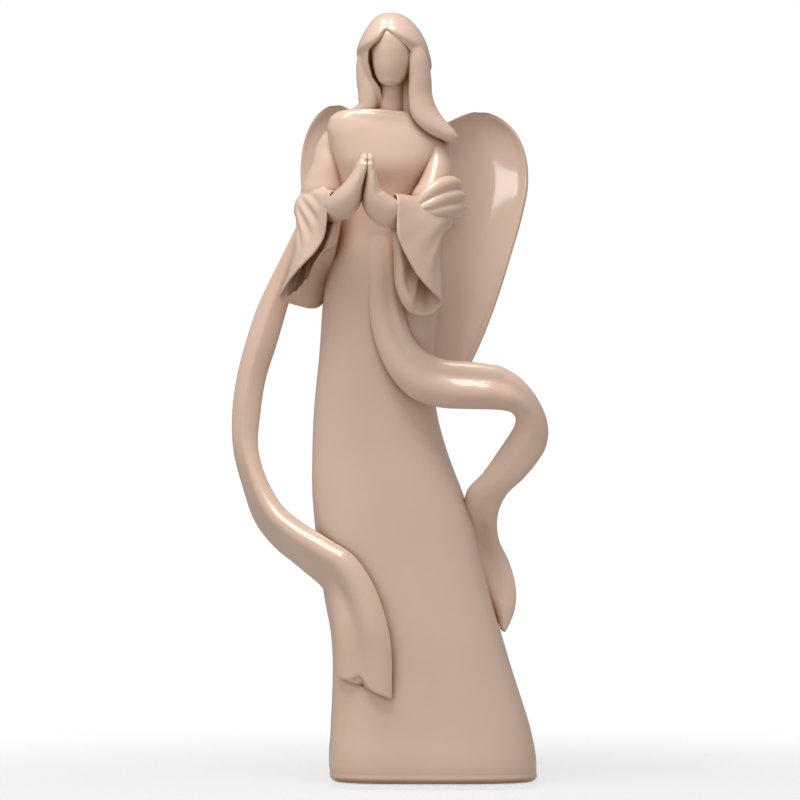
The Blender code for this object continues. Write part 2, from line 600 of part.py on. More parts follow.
def wing_rings(side, lift, shift):
    """Level rings up a cupped wing, thick at its root and thin at its rim. side is 1 for the left wing."""
    table = np.array(WING, float)[::-1]
    low, high = table[0, 0], table[-1, 0]
    keys = np.arccos(np.clip(1 - 2 * (table[:, 0] - low) / (high - low), -1, 1))
    places = np.linspace(0, math.pi, WING_LEVELS)
    heights = low + (high - low) * (1 - np.cos(places)) / 2
    half_sides = WING_SIDES // 2
    share = (1 - np.cos(np.linspace(0, math.pi, half_sides + 1))) / 2
    rings = []
    for height, inner, outer, cup in np.column_stack([heights, through(keys, table[:, 1:], places)]):
        reach = inner + (outer - inner) * share
        back = cup * np.sin(math.pi * share)
        thick = np.interp(reach, [8.0, 26.0], [WING_ROOT_HALF, WING_RIM_HALF]) * np.sin(math.pi * share) ** 0.35
        thick = np.minimum(thick, (outer - inner) / 3 + 0.3)
        face = np.concatenate([back - thick, (back + thick)[-2:0:-1]])
        reach = np.concatenate([reach, reach[-2:0:-1]])
        x = TORSO_X + side * (reach * math.cos(WING_SWEEP) - face * math.sin(WING_SWEEP) + shift)
        y = WING_ROOT_Y + reach * math.sin(WING_SWEEP) + face * math.cos(WING_SWEEP)
        rings.append(np.stack([x, y, np.full(len(x), height + lift)], axis=1))
    return rings


def arm_rings(sections):
    """Level oval rings down an upper arm."""
    angle = circle(ROUND_SIDES)
    return [
        np.stack([x + half * np.cos(angle), y + deep * np.sin(angle), np.full(len(angle), z)], axis=1)
        for x, y, z, half, deep in refined(sections, 2)
    ]


def closed_curve(corners, sides):
    """Evenly spaced places on the smooth closed curve through some corners, starting at the first."""
    corners = np.asarray(corners, float)
    wrapped = np.concatenate([corners[-3:], corners, corners[:4]])
    keys = np.concatenate([[0], np.cumsum(np.linalg.norm(np.diff(wrapped, axis=0), axis=1))])
    start, end = keys[3], keys[3 + len(corners)]
    return through(keys, wrapped, start + (end - start) * np.arange(sides) / sides)


def bell_ring(elbow, rim, drape, share):
    """A section of a bell sleeve at a share of the way from its elbow, 0, to its rim, 1."""
    centre, up, outer = (np.array(part) for part in elbow)
    angle = circle(BELL_SIDES)
    start = centre + np.outer(np.cos(angle), up) + np.outer(np.sin(angle), outer)
    end = closed_curve(rim, BELL_SIDES)
    if share >= 0:
        turn = angle / (2 * math.pi)
        sag = np.exp(-(((turn - DRAPE_TURN) / DRAPE_SPREAD) ** 2)) * share**3 * (1 - share) * 9.5
        return start + (end - start) * share + np.outer(sag, drape)
    behind = np.cross(up, outer)
    behind *= np.sign(behind[1]) / np.linalg.norm(behind)
    return centre + (start - centre) * math.sqrt(1 - share**2) - behind * share * np.linalg.norm(outer)


def shrunk(ring):
    """A bell section brought in by the sleeve's wall, which is thicker along the inner edge."""
    turn = np.arange(len(ring)) / len(ring)
    inner = np.clip((turn - 0.5) / 0.15, 0, 1) * np.clip((1 - turn) / 0.1, 0, 1)
    wall = RIM_FRONT_WALL + (RIM_BACK_WALL - RIM_FRONT_WALL) * inner
    along = np.roll(ring, -1, axis=0) - np.roll(ring, 1, axis=0)
    middle = ring.mean(0)
    facing = sum(np.cross(a - middle, b - middle) for a, b in zip(ring, np.roll(ring, -1, axis=0)))
    inward = np.cross(facing / np.linalg.norm(facing), along)
    return ring + inward / np.linalg.norm(inward, axis=1)[:, None] * wall[:, None]


def bell_rings(elbow, rim, drape):
    """Rings along a bell sleeve, from the back of its elbow to its rim."""
    return [bell_ring(elbow, rim, drape, share) for share in (-0.97, -0.75, -0.4, 0.0, 0.3, 0.55, 0.75, 0.9, 1.0)]


def make_sleeve(name, shapes, elbow, rim, finish):
    """An upper arm and the bell that hangs from its elbow, with a pocket behind the bell's mouth."""
    bell, arm = shapes
    sleeve = loft(name, bell, finish)
    boolean(sleeve, loft("upper_arm", arm, finish), "UNION")
    mouth, floor = (shrunk(bell_ring(elbow, rim, (0, 0, 0), share)) for share in (1.0, 1.0 - POCKET_DEPTH))
    beyond = mouth + (mouth - floor) * 0.4
    boolean(sleeve, loft("pocket", [beyond, mouth, (mouth + floor) / 2, floor], finish), "DIFFERENCE")
    return sleeve


def hand_rings(sections):
    """Rings along a forearm and flat hand, widest along the plane where the palms meet."""
    rows = refined(sections, 2)
    heading = np.gradient(rows[:, :3], axis=0)
    wide = np.array([math.sin(PALM_TURN), -math.cos(PALM_TURN), 0.0])
    angle = circle(HAND_SIDES)
    rings = []
    for (x, y, z, thick, half), ahead in zip(rows, heading):
        side = np.cross(wide, ahead)
        side /= np.linalg.norm(side)
        broad = np.cross(ahead, side)
        broad /= np.linalg.norm(broad)
        rings.append(
            np.array([x, y, z]) + np.outer(thick * np.cos(angle), side) + np.outer(half * np.sin(angle), broad)
        )
    return rings


def trim_palm(hand, side, finish):
    """Flattens a hand where its palm meets the other one. side is 1 for the left hand and -1 for the right."""
    across = np.array([math.cos(PALM_TURN), math.sin(PALM_TURN), 0.0]) * side
    wide = np.array([math.sin(PALM_TURN), -math.cos(PALM_TURN), 0.0])
    meeting = np.array([*PALM_MEETING, 0.0])
    near, far = GLUE_GAP / 2, -30.0
    walls = []
    for height in (190.0, FINGER_ROOT_Z, 260.0):
        lean = PALM_LEAN * (height - FINGER_ROOT_Z) if height > FINGER_ROOT_Z else 0.0
        corners = ((near, -30), (near, 30), (far, 30), (far, -30))
        walls.append([meeting + across * a + wide * b + (lean, 0, height) for a, b in corners])
    boolean(hand, loft("palm_cut", walls, finish), "DIFFERENCE")


def fold_profile(share, twofold):
    """How far the sash's middle surface stands out at each share of its half width, -1 to 1, for a fold height of 1."""
    single = 1 - np.abs(share) ** 1.5
    double = 0.5 - 0.5 * np.cos(2 * math.pi * (share + 0.1)) - 0.35
    return (1 - twofold) * single + twofold * double


def sash_rings(stations, steps, sides=SASH_SIDES):
    """Closed sections along a sash, rounded at both edges and creased by its fold."""
    rows = refined(stations, steps)
    heading = np.gradient((rows[:, :3] + rows[:, 3:6]) / 2, axis=0)
    half_sides = sides // 2
    share = -np.cos(np.linspace(0, math.pi, half_sides + 1))
    body = np.sqrt(np.clip(1 - np.abs(share) ** 3, 0, 1))
    rings = []
    for row, ahead in zip(rows, heading):
        outer, inner, thickness, fold, twofold = row[:3], row[3:6], row[6], row[7], row[8]
        centre = (outer + inner) / 2
        ahead = ahead / np.linalg.norm(ahead)
        across = (inner - outer) / 2
        outward = np.cross(ahead, across)
        outward /= np.linalg.norm(outward)
        middle = fold * fold_profile(share, twofold)
        top = middle + thickness / 2 * body
        low = middle - thickness / 2 * body
        height = np.concatenate([top, low[-2:0:-1]])
        reach = np.concatenate([share, share[-2:0:-1]])
        rings.append(centre + np.outer(reach, across) + np.outer(height, outward))
    return rings


def make_right_sash(finish):
    """The long sash that hangs from the right elbow and ends in a swallow tail on the gown's front."""
    rings = sash_rings(RIGHT_SASH, 2)
    end = rings[-1]
    share = (end[:, 0] - end[:, 0].mean()) / (end[:, 0].max() - end[:, 0].min()) * 2
    end[:, 2] += SASH_TAIL_NOTCH * np.exp(-((share / 0.25) ** 2)) - 2.5 * share
    return loft("right_sash", rings, finish)


def make_left_sash(finish):
    """The sash that lies down the gown's front, loops out at its left side and ends in a point."""
    return loft("left_sash", sash_rings(LEFT_SASH, 2), finish)


def roll_rings(sections):
    """Sections along one roll of bunched sash."""
    rows = refined(sections, 2)
    heading = np.gradient(rows[:, :3], axis=0)
    angle = circle(ROLL_SIDES)
    rings = []
    for row, ahead in zip(rows, heading):
        centre, outward, tall, thick = row[:3], row[3:6], row[6], row[7]
        up = np.cross(outward, ahead)
        up *= np.sign(up[2]) / np.linalg.norm(up)
        outward = outward / np.linalg.norm(outward)
        rings.append(centre + np.outer(thick * np.cos(angle), outward) + np.outer(tall * np.sin(angle), up))
    return rings


def make_elbow_fold(finish):
    """The three rolls of sash bunched round the outside of the left elbow."""
    fold = loft("left_elbow_fold", roll_rings(ELBOW_UPPER_ROLL), finish)
    for roll in (ELBOW_MIDDLE_ROLL, ELBOW_LOWER_ROLL):
        boolean(fold, loft("roll", roll_rings(roll), finish), "UNION")
    return fold


def cylinder(name, middle, direction, length, radius, finish, sides=DOWEL_SIDES):
    """A cylinder about a middle point."""
    direction = np.array(direction, float) / np.linalg.norm(direction)
    level = np.cross(direction, (0.3, 0.8, 0.5))
    level /= np.linalg.norm(level)
    upright = np.cross(direction, level)
    angle = circle(sides)
    outline = radius * (np.outer(np.cos(angle), level) + np.outer(np.sin(angle), upright))
    ends = [np.array(middle) + direction * along + outline for along in (-length / 2, length / 2)]
    return loft(name, ends, finish)


def add_dowel(name, middle, direction, length, castings, steel):
    """A steel dowel, and the blind holes that it is glued into."""
    for casting in castings:
        hole = cylinder("hole", middle, direction, length + 2 * GLUE_GAP, DOWEL_HOLE_RADIUS, steel)
        boolean(casting, hole, "DIFFERENCE")
    return cylinder(name, middle, direction, length, DOWEL_RADIUS, steel)


def main():
    for old in list(bpy.data.objects):
        bpy.data.objects.remove(old)
    resin = material("ivory_resin", (0.60, 0.42, 0.33), 0.22)
    steel = material("dowel_steel", (0.55, 0.55, 0.56), 0.35, 1.0)
    felt = material("felt", (0.20, 0.16, 0.13), 0.95)

    shapes = {
        "gown": [gown_outside()],
        "head": [upright_rings(SKULL, ROUND_SIDES, 2), upright_rings(NECK, ROUND_SIDES)],
        "hair": [hair_rings()],
        "right_sleeve": [bell_rings(RIGHT_ELBOW, RIGHT_RIM, RIGHT_DRAPE), arm_rings(RIGHT_ARM)],
        "left_sleeve": [bell_rings(LEFT_ELBOW, LEFT_RIM, LEFT_DRAPE), arm_rings(LEFT_ARM)],
        "right_hand": [hand_rings(RIGHT_HAND)],
        "left_hand": [hand_rings(LEFT_HAND)],
        "right_wing": [wing_rings(-1, RIGHT_WING_LIFT, RIGHT_WING_SHIFT)],
        "left_wing": [wing_rings(1, -LEFT_WING_DROP, LEFT_WING_SHIFT)],
    }
    pieces = {
        "gown": make_gown(resin),
        "head": make_head(shapes["head"], resin),
        "hair": make_hair(shapes["hair"][0], resin),
        "right_sleeve": make_sleeve("right_sleeve", shapes["right_sleeve"], RIGHT_ELBOW, RIGHT_RIM, resin),
        "left_sleeve": make_sleeve("left_sleeve", shapes["left_sleeve"], LEFT_ELBOW, LEFT_RIM, resin),
        "right_sash": make_right_sash(resin),
        "left_sash": make_left_sash(resin),
        "left_elbow_fold": make_elbow_fold(resin),
    }
    for name in ("right_hand", "left_hand", "right_wing", "left_wing"):
        pieces[name] = loft(name, shapes[name][0], resin)
    make_base_plate(resin)
    make_felt_pad(felt)

    trim_palm(pieces["right_hand"], -1, resin)
    trim_palm(pieces["left_hand"], 1, resin)
    for name, neighbours in GLUED_AGAINST.items():
        clear_of(pieces[name], *[shapes[neighbour] for neighbour in neighbours])

    for name, middle, direction, length, castings in DOWELS:
        add_dowel(name, middle, direction, length, [pieces[c] for c in castings], steel)
    for made in bpy.data.objects:
        made.data.shade_smooth()
        made.data.set_sharp_from_angle(angle=math.radians(40))


main()
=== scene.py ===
"""Looks of the resin angel figurine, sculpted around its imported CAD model.

Tables are in millimetres in the row frame, the same frame as the CAD nodes: +Z is up, the figure faces -Y
and its left side is at +X. Every casting is made again with a fine surface and rides on the one body.
"""

import math

import bmesh
import bpy
import numpy as np
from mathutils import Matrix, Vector


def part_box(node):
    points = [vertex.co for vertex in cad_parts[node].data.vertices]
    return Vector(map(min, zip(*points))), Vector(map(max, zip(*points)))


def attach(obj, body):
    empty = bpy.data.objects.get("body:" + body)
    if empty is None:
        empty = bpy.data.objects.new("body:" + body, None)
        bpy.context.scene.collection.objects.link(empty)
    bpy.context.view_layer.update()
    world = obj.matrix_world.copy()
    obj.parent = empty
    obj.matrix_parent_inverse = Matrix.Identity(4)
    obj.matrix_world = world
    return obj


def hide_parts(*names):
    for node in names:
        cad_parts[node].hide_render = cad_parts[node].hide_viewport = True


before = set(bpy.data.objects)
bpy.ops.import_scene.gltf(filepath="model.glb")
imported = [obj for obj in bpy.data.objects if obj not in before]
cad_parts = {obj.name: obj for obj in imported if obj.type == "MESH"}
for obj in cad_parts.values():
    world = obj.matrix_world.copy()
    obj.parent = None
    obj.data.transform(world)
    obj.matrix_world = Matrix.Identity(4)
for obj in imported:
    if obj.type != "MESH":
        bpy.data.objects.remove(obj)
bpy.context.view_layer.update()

MM = 0.001
BODY = "root"
RESIN_SLOT, FELT_SLOT, STEEL_SLOT = "ivory_resin", "felt", "dowel_steel"

# --- driving sizes, in millimetres -----------------------------------------------------------------
HEM_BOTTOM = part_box("gown")[0].z / MM
CROWN_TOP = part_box("hair")[1].z / MM
PLATE_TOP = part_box("base_plate")[1].z / MM
TORSO_X = -19.0
WALL = 4.5
LEDGE = 2.0
CAVITY_TOP = 222.0
SHOULDER_DEPTH = 12.0  # levels of the gown are set closer this far down from its top
GOWN_STEP = 1.5
GRAIN = 0.4  # how fine a casting's surface is; the rolls and the hands are finer
ROLL_GRAIN = 0.35
HAND_GRAIN = 0.28
PALM_MEETING = np.array([-20.1, -32.4, 0.0])
PALM_TURN = math.radians(25)
WING_SWEEP = math.radians(31.5)
WING_ROOT_Y = 8.5
GOWN_TURN = math.radians(15)  # the broad front of the gown is turned this far to the figure's left

# Gown sections: height, centre x, half width, depth in front, depth behind, squareness, slope to the side.
GOWN = (
    (HEM_BOTTOM, -0.3, 38.6, 23.6, 23.6, 3.2, 0.0),
    (HEM_BOTTOM + 0.7, -0.3, 39.6, 24.6, 24.6, 3.2, 0.0),
    (4.0, -0.5, 40.1, 25.0, 25.0, 3.2, 0.0),
    (20.0, -1.5, 38.9, 23.8, 24.0, 3.2, 0.0),
    (32.0, -3.1, 36.8, 22.8, 23.2, 3.15, 0.0),
    (45.0, -5.1, 34.6, 21.8, 22.2, 3.1, 0.0),
    (57.0, -7.3, 33.2, 20.8, 21.2, 3.05, 0.0),
    (70.0, -10.5, 32.5, 19.8, 20.2, 3.0, 0.0),
    (85.0, -13.6, 31.8, 18.7, 18.9, 2.95, 0.0),
    (101.0, -16.4, 30.9, 17.6, 17.6, 2.9, 0.0),
    (113.0, -19.1, 29.2, 16.8, 16.8, 2.85, 0.0),
    (124.0, -21.3, 27.1, 16.0, 16.0, 2.8, 0.0),
    (144.0, -23.8, 24.0, 14.8, 15.0, 2.7, 0.0),
    (165.0, -23.2, 22.6, 13.8, 14.4, 2.7, 0.0),
    (195.0, -21.2, 22.0, 13.0, 14.2, 2.6, -0.01),
    (213.0, -20.8, 18.8, 12.2, 14.0, 2.5, -0.02),
    (226.0, -21.0, 16.8, 12.0, 13.6, 2.5, -0.04),
    (232.5, -20.6, 17.8, 12.7, 13.4, 2.5, -0.05),
    (236.6, -20.1, 19.0, 14.1, 13.2, 2.5, -0.06),
    (239.6, -19.7, 20.2, 14.2, 13.0, 2.6, -0.07),
    (246.0, -18.8, 22.6, 12.6, 12.4, 2.8, -0.08),
    (252.5, -18.8, 23.6, 10.6, 11.0, 2.9, -0.11),
    (256.5, -19.2, 21.4, 9.2, 9.6, 2.9, -0.13),
    (259.4, -19.2, 16.8, 8.2, 7.6, 2.8, -0.12),
    (261.0, -18.6, 10.8, 7.0, 5.4, 2.6, -0.08),
    (261.6, -17.8, 5.4, 5.0, 3.2, 2.3, -0.06),
)

# Head and neck sections: centre, half width, half depth.
SKULL = (
    ((-15.6, -8.2, 270.2), 1.6, 1.8),
    ((-15.6, -7.6, 271.0), 3.4, 3.6),
    ((-15.7, -6.0, 273.0), 5.4, 5.9),
    ((-15.7, -3.9, 276.5), 7.3, 8.9),
    ((-15.7, -2.0, 281.0), 8.8, 11.2),
    ((-15.7, -0.9, 286.0), 9.5, 12.2),
    ((-15.6, -0.4, 291.0), 9.0, 11.4),
    ((-15.4, -0.2, 295.0), 6.6, 8.4),
    ((-15.2, 0.0, 297.2), 3.0, 4.0),
)
NECK = (
    ((-17.4, 0.6, 247.0), 4.6, 4.6),
    ((-17.2, 0.2, 254.0), 5.6, 5.4),
    ((-17.0, -0.2, 261.0), 6.0, 5.8),
    ((-16.6, -1.0, 267.0), 5.2, 5.4),
    ((-16.2, -1.4, 274.0), 5.0, 5.4),
    ((-16.0, -1.4, 279.0), 4.6, 5.4),
)

# Hair sections: centre, half width, depth in front, depth behind, slope to the side.
HAIR = (
    ((-17.4, -0.5, CROWN_TOP), 1.0, 1.4, 1.4, 0.0),
    ((-17.4, -0.5, CROWN_TOP - 0.3), 2.9, 3.4, 3.4, 0.0),
    ((-17.3, -0.5, CROWN_TOP - 1.1), 4.9, 5.6, 5.8, 0.0),
    ((-17.1, -0.5, CROWN_TOP - 2.4), 6.7, 7.6, 8.0, 0.0),
    ((-16.8, -0.4, 294.1), 9.1, 10.2, 11.0, 0.0),
    ((-16.7, -0.3, 291.0), 11.0, 12.4, 13.2, 0.0),
    ((-16.7, -0.2, 287.6), 12.6, 13.9, 14.6, 0.0),
    ((-16.7, 0.2, 283.4), 13.8, 14.4, 15.4, -0.02),
    ((-16.5, 0.8, 276.0), 14.8, 12.8, 15.6, -0.03),
    ((-16.2, 1.4, 268.0), 14.5, 9.6, 15.0, -0.04),
    ((-16.0, 1.8, 262.5), 15.6, 7.6, 14.6, -0.08),
    ((-15.4, 1.8, 258.0), 18.4, 6.4, 14.6, -0.12),
    ((-14.8, 1.6, 254.8), 21.6, 5.4, 14.6, -0.14),
    ((-15.2, 2.2, 251.6), 21.0, 4.4, 14.4, -0.12),
    ((-18.0, 4.6, 247.0), 16.0, 3.6, 12.6, -0.04),
    ((-18.4, 8.2, 238.0), 12.6, 3.0, 9.4, 0.0),
    ((-18.6, 9.6, 228.0), 9.0, 2.4, 8.0, 0.0),
    ((-18.6, 10.4, 222.0), 4.0, 1.6, 6.0, 0.0),
)
# The opening that the face looks out of, as x and z from the parting down the right side and back up.
HAIR_OPENING = (
    (-16.4, 292.0),
    (-17.4, 289.6),
    (-19.0, 287.4),
    (-21.4, 285.8),
    (-23.6, 284.0),
    (-23.9, 279.6),
    (-22.8, 274.0),
    (-20.0, 269.6),
    (-19.0, 263.0),
    (-19.6, 250.0),
    (-7.6, 250.0),
    (-7.4, 262.0),
    (-6.4, 268.4),
    (-5.4, 273.2),
    (-5.4, 278.6),
    (-6.8, 283.0),
    (-9.4, 286.2),
    (-12.6, 288.8),
)
HAIR_OPENING_BACK_Y = -3.0
# The swept cap of hair ends above the side locks along this line: turn from the front in degrees, height.
HAIR_SWEEP = (
    (-180, 268.0),
    (-110, 279.0),
    (-75, 282.6),
    (-44, 284.4),
    (-24, 285.8),
    (-13, 287.6),
    (-6, 289.4),
    (1, 292.4),
    (10, 291.0),
    (27, 289.2),
    (44, 287.0),
    (65, 284.4),
    (88, 281.6),
    (120, 277.0),
    (180, 268.0),
)
CAP_STEP = 1.5
CAP_EDGE = 0.45  # how gently the step at the cap's end falls
STRAND_DEPTH = 0.32
STRAND_COUNT = 22
STRAND_TWIST = 0.05  # in radians for each millimetre of height
PARTING_DEPTH = 0.5
PARTING_HALF = 1.4

# Rolls: centre, outward direction, half height, half thickness.
LEFT_LOCK = (
    ((-7.4, -6.4, 287.0), (0.5, -0.85, 0.2), 1.6, 1.4),
    ((-5.4, -5.2, 281.5), (0.6, -0.8, 0.1), 3.8, 2.8),
    ((-4.6, -4.4, 273.5), (0.6, -0.8, 0.0), 4.6, 3.4),
    ((-4.4, -4.2, 266.0), (0.55, -0.83, 0.1), 4.9, 3.5),
    ((-3.0, -4.4, 260.4), (0.45, -0.8, 0.4), 5.4, 3.6),
    ((0.4, -4.0, 256.0), (0.35, -0.65, 0.65), 5.2, 3.6),
    ((4.4, -3.2, 252.8), (0.3, -0.6, 0.75), 4.2, 3.2),
    ((7.9, -2.0, 250.4), (0.4, -0.5, 0.75), 2.8, 2.4),
    ((9.5, -1.2, 249.4), (0.5, -0.4, 0.7), 1.5, 1.4),
)
RIGHT_LOCK = (
    ((-25.8, -5.6, 286.6), (-0.5, -0.85, 0.2), 1.6, 1.4),
    ((-27.2, -4.2, 281.0), (-0.65, -0.75, 0.1), 3.0, 2.8),
    ((-26.6, -4.0, 274.0), (-0.6, -0.8, 0.0), 4.2, 3.4),
    ((-25.4, -4.4, 267.0), (-0.55, -0.83, 0.1), 4.6, 3.5),
    ((-26.0, -4.2, 262.6), (-0.5, -0.8, 0.3), 4.4, 3.4),
    ((-29.6, -3.0, 260.4), (-0.4, -0.6, 0.6), 3.0, 3.0),
    ((-34.4, -1.8, 259.2), (-0.3, -0.5, 0.8), 1.8, 2.4),
    ((-38.6, -0.8, 258.0), (-0.3, -0.4, 0.85), 0.8, 1.2),
)
ELBOW_UPPER_ROLL = (
    ((-2.6, -18.6, 222.6), (0.5, -0.7, 0.6), 1.0, 1.0),
    ((0.9, -16.6, 226.4), (0.6, -0.6, 0.5), 2.4, 2.4),
    ((5.3, -12.3, 230.2), (0.75, -0.45, 0.5), 3.1, 3.2),
    ((8.2, -6.8, 231.6), (0.85, -0.15, 0.5), 3.2, 3.4),
    ((8.6, -1.0, 230.8), (0.85, 0.1, 0.4), 3.0, 3.2),
    ((6.7, 5.0, 229.6), (0.8, 0.6, 0.1), 2.6, 2.6),
    ((2.4, 9.0, 228.3), (0.3, 0.95, 0.0), 1.4, 1.4),
)
ELBOW_MIDDLE_ROLL = (
    ((-1.6, -18.8, 221.0), (0.6, -0.8, 0.2), 1.0, 1.0),
    ((2.4, -16.2, 222.9), (0.7, -0.7, 0.2), 2.3, 2.4),
    ((6.6, -11.4, 225.6), (0.85, -0.5, 0.1), 2.9, 3.2),
    ((9.4, -5.8, 226.8), (1.0, -0.1, 0.1), 3.0, 3.4),
    ((9.6, 0.2, 226.8), (1.0, 0.1, 0.1), 2.8, 3.2),
    ((6.9, 6.0, 226.4), (0.7, 0.7, 0.0), 2.2, 2.4),
    ((3.4, 9.0, 226.2), (0.3, 0.95, 0.0), 1.2, 1.2),
)
ELBOW_LOWER_ROLL = (
    ((0.6, -17.8, 219.4), (0.7, -0.7, 0.0), 1.0, 1.0),
    ((4.4, -14.4, 220.2), (0.8, -0.6, -0.1), 2.3, 2.4),
    ((7.8, -9.6, 221.4), (0.9, -0.4, -0.1), 3.0, 3.2),
    ((9.8, -4.0, 222.2), (1.0, 0.0, -0.1), 3.3, 3.4),
    ((9.3, 2.0, 222.8), (0.9, 0.3, 0.0), 3.1, 3.0),
    ((5.2, 7.0, 223.4), (0.6, 0.8, 0.0), 1.8, 1.8),
)

# Wing sections: height, inner and outer edge measured out from the root, how far the middle is cupped back.
WING = (
    (149.0, 19.0, 22.0, 0.4),
    (154.0, 15.0, 26.0, 1.2),
    (164.0, 9.0, 32.0, 2.4),
    (176.0, 5.0, 37.6, 3.4),
    (190.0, 3.0, 43.0, 4.4),
    (206.0, 3.0, 48.2, 5.2),
    (222.0, 3.0, 53.0, 5.8),
    (234.0, 3.0, 55.4, 6.0),
    (244.0, 4.5, 55.0, 6.0),
    (252.0, 11.5, 52.4, 5.6),
    (258.0, 20.5, 48.0, 4.8),
    (261.6, 28.0, 42.5, 3.6),
    (263.0, 33.5, 37.0, 2.0),
)
WING_RIM_HALF = 0.9
WING_BEAD = 0.55
WING_BEAD_HALF = 0.9
WING_EDGE_RADIUS = 1.3
WING_ROOT_HALF = 2.6
LEFT_WING_DROP = 0.6
LEFT_WING_SHIFT = 0.6  # how far each wing stands out from the middle line
RIGHT_WING_SHIFT = -1.1
RIGHT_WING_LIFT = 3.6

# Upper arm sections, shoulder to elbow: centre, half width in x, half width in y.
RIGHT_ARM = (
    ((-36.4, -0.2, 257.2), 1.8, 3.0),
    ((-38.2, -0.8, 254.8), 3.8, 4.8),
    ((-39.8, -1.6, 251.6), 5.2, 6.0),
    ((-41.4, -2.6, 246.4), 6.2, 6.8),
    ((-41.6, -4.2, 240.2), 7.0, 7.6),
    ((-42.6, -5.4, 234.2), 8.4, 8.0),
    ((-43.0, -6.2, 229.4), 9.2, 8.2),
    ((-43.6, -7.0, 224.0), 6.6, 6.0),
)
LEFT_ARM = (
    ((-2.0, 2.6, 253.4), 2.4, 3.6),
    ((-0.2, 2.6, 250.6), 4.2, 5.2),
    ((1.0, 2.2, 247.4), 4.9, 6.0),
    ((1.8, 1.2, 243.2), 4.8, 6.6),
    ((2.0, -1.2, 238.2), 5.4, 7.4),
    ((1.4, -3.6, 232.7), 6.4, 8.0),
    ((0.4, -5.6, 227.5), 7.8, 8.4),
    ((0.8, -7.2, 221.0), 5.8, 6.4),
)
# Elbow end of each bell sleeve: centre, half vector up, half vector to the outer front.
RIGHT_ELBOW = ((-45.0, -8.0, 222.6), (0.0, 0.0, 8.4), (-8.0, -4.8, 0.0))
LEFT_ELBOW = ((1.4, -8.6, 218.6), (0.0, 0.0, 7.4), (7.4, -3.2, 0.0))
# Rim of each bell's mouth: from the top down its front edge to the lowest tip, then up its inner edge.
RIGHT_RIM = (
    (-33.6, -25.4, 228.6),
    (-34.4, -29.0, 226.4),
    (-34.9, -31.0, 221.8),
    (-35.2, -31.6, 216.4),
    (-36.6, -31.0, 210.3),
    (-39.5, -30.5, 205.7),
    (-44.2, -29.5, 201.2),
    (-49.3, -27.0, 196.7),
    (-54.2, -23.0, 191.8),
    (-58.0, -17.0, 187.3),
    (-55.3, -11.0, 185.5),
    (-50.4, -8.5, 186.3),
    (-45.0, -7.5, 189.8),
    (-40.5, -9.0, 196.4),
    (-36.5, -13.0, 204.0),
    (-33.4, -18.0, 212.0),
    (-31.8, -20.6, 220.4),
    (-32.2, -22.4, 226.6),
)
LEFT_RIM = (
    (-9.4, -23.2, 227.2),
    (-7.5, -26.2, 225.4),
    (-6.7, -28.4, 221.2),
    (-6.3, -30.0, 215.8),
    (-5.9, -31.0, 211.4),
    (-4.2, -30.4, 206.4),
    (-1.9, -29.6, 201.5),
    (0.8, -28.0, 196.2),
    (3.7, -25.5, 192.0),
    (6.0, -22.0, 188.7),
    (7.5, -17.0, 185.0),
    (5.0, -15.0, 182.3),
    (0.9, -14.5, 180.8),
    (-4.3, -14.5, 182.0),
    (-8.2, -15.0, 185.9),
    (-10.8, -15.5, 192.8),
    (-11.2, -17.0, 201.3),
    (-11.0, -19.2, 209.5),
    (-12.6, -18.6, 218.0),
    (-12.0, -20.2, 225.0),
)
# How far the bell's inner side hangs below a straight line from elbow to rim, three quarters of the way.
RIGHT_DRAPE = (-2.0, 5.0, -11.0)
LEFT_DRAPE = (0.0, 1.5, -1.0)
DRAPE_TURN = 0.64
DRAPE_SPREAD = 0.12
DRAPE_PEAK = 9.5  # brings the drape's greatest share to 1
RIM_FRONT_WALL = 1.4
RIGHT_BACK_WALL = 11.0
LEFT_BACK_WALL = 8.0
POCKET_DEPTH = 0.5
PLEAT_DEPTH = 0.5
PLEAT_SPREAD = 0.16
# Where each sleeve's fine pleats lie round the bell, as a share of a turn, and how many make a whole turn.
RIGHT_PLEATS = (0.18, 16)
LEFT_PLEATS = (0.45, 9)

# Hand sections, forearm to knuckles and on to the fingertips: centre, half thickness, half width.
RIGHT_HAND = (
    ((-43.0, -13.6, 220.6), 2.2, 2.2),
    ((-38.8, -19.4, 220.8), 3.6, 3.0),
    ((-34.4, -24.8, 221.2), 5.0, 4.1),
    ((-30.0, -28.2, 222.2), 5.6, 6.0),
    ((-26.4, -31.2, 224.6), 5.5, 6.4),
    ((-22.8, -32.9, 230.4), 3.5, 5.6),
    ((-20.8, -33.2, 235.6), 2.2, 4.3),
    ((-19.9, -33.2, 239.2), 1.4, 2.8),
    ((-19.5, -33.2, 240.6), 0.7, 1.2),
)
LEFT_HAND = (
    ((-1.4, -12.8, 217.6), 2.2, 2.4),
    ((-5.0, -18.2, 218.0), 3.8, 3.3),
    ((-8.8, -22.8, 218.8), 5.4, 4.6),
    ((-12.2, -26.0, 220.0), 6.1, 6.2),
    ((-15.0, -28.0, 222.6), 5.8, 6.4),
    ((-17.0, -29.4, 226.4), 4.5, 6.3),
    ((-17.2, -30.9, 231.2), 2.9, 5.2),
    ((-17.2, -31.6, 236.0), 1.9, 4.0),
    ((-17.1, -31.8, 239.4), 1.0, 1.8),
)
# Fingers, little finger first: place across the hand towards its outer edge, height of the tip, radius.
FINGERS = ((3.4, 238.6, 1.75), (1.2, 241.2, 1.85), (-1.2, 242.2, 1.85), (-3.4, 240.6, 1.75))
FINGER_ROOT_Z = 224.0
FINGER_OFFSET = 1.1
FINGER_SPLAY = 2.6
FINGER_TAPER = 0.12
FINGER_ROUND = 0.9  # the share of a finger's length where its tip starts to round
PALM_LEAN = 0.12  # how far the palms lean to the figure's left for each millimetre they rise

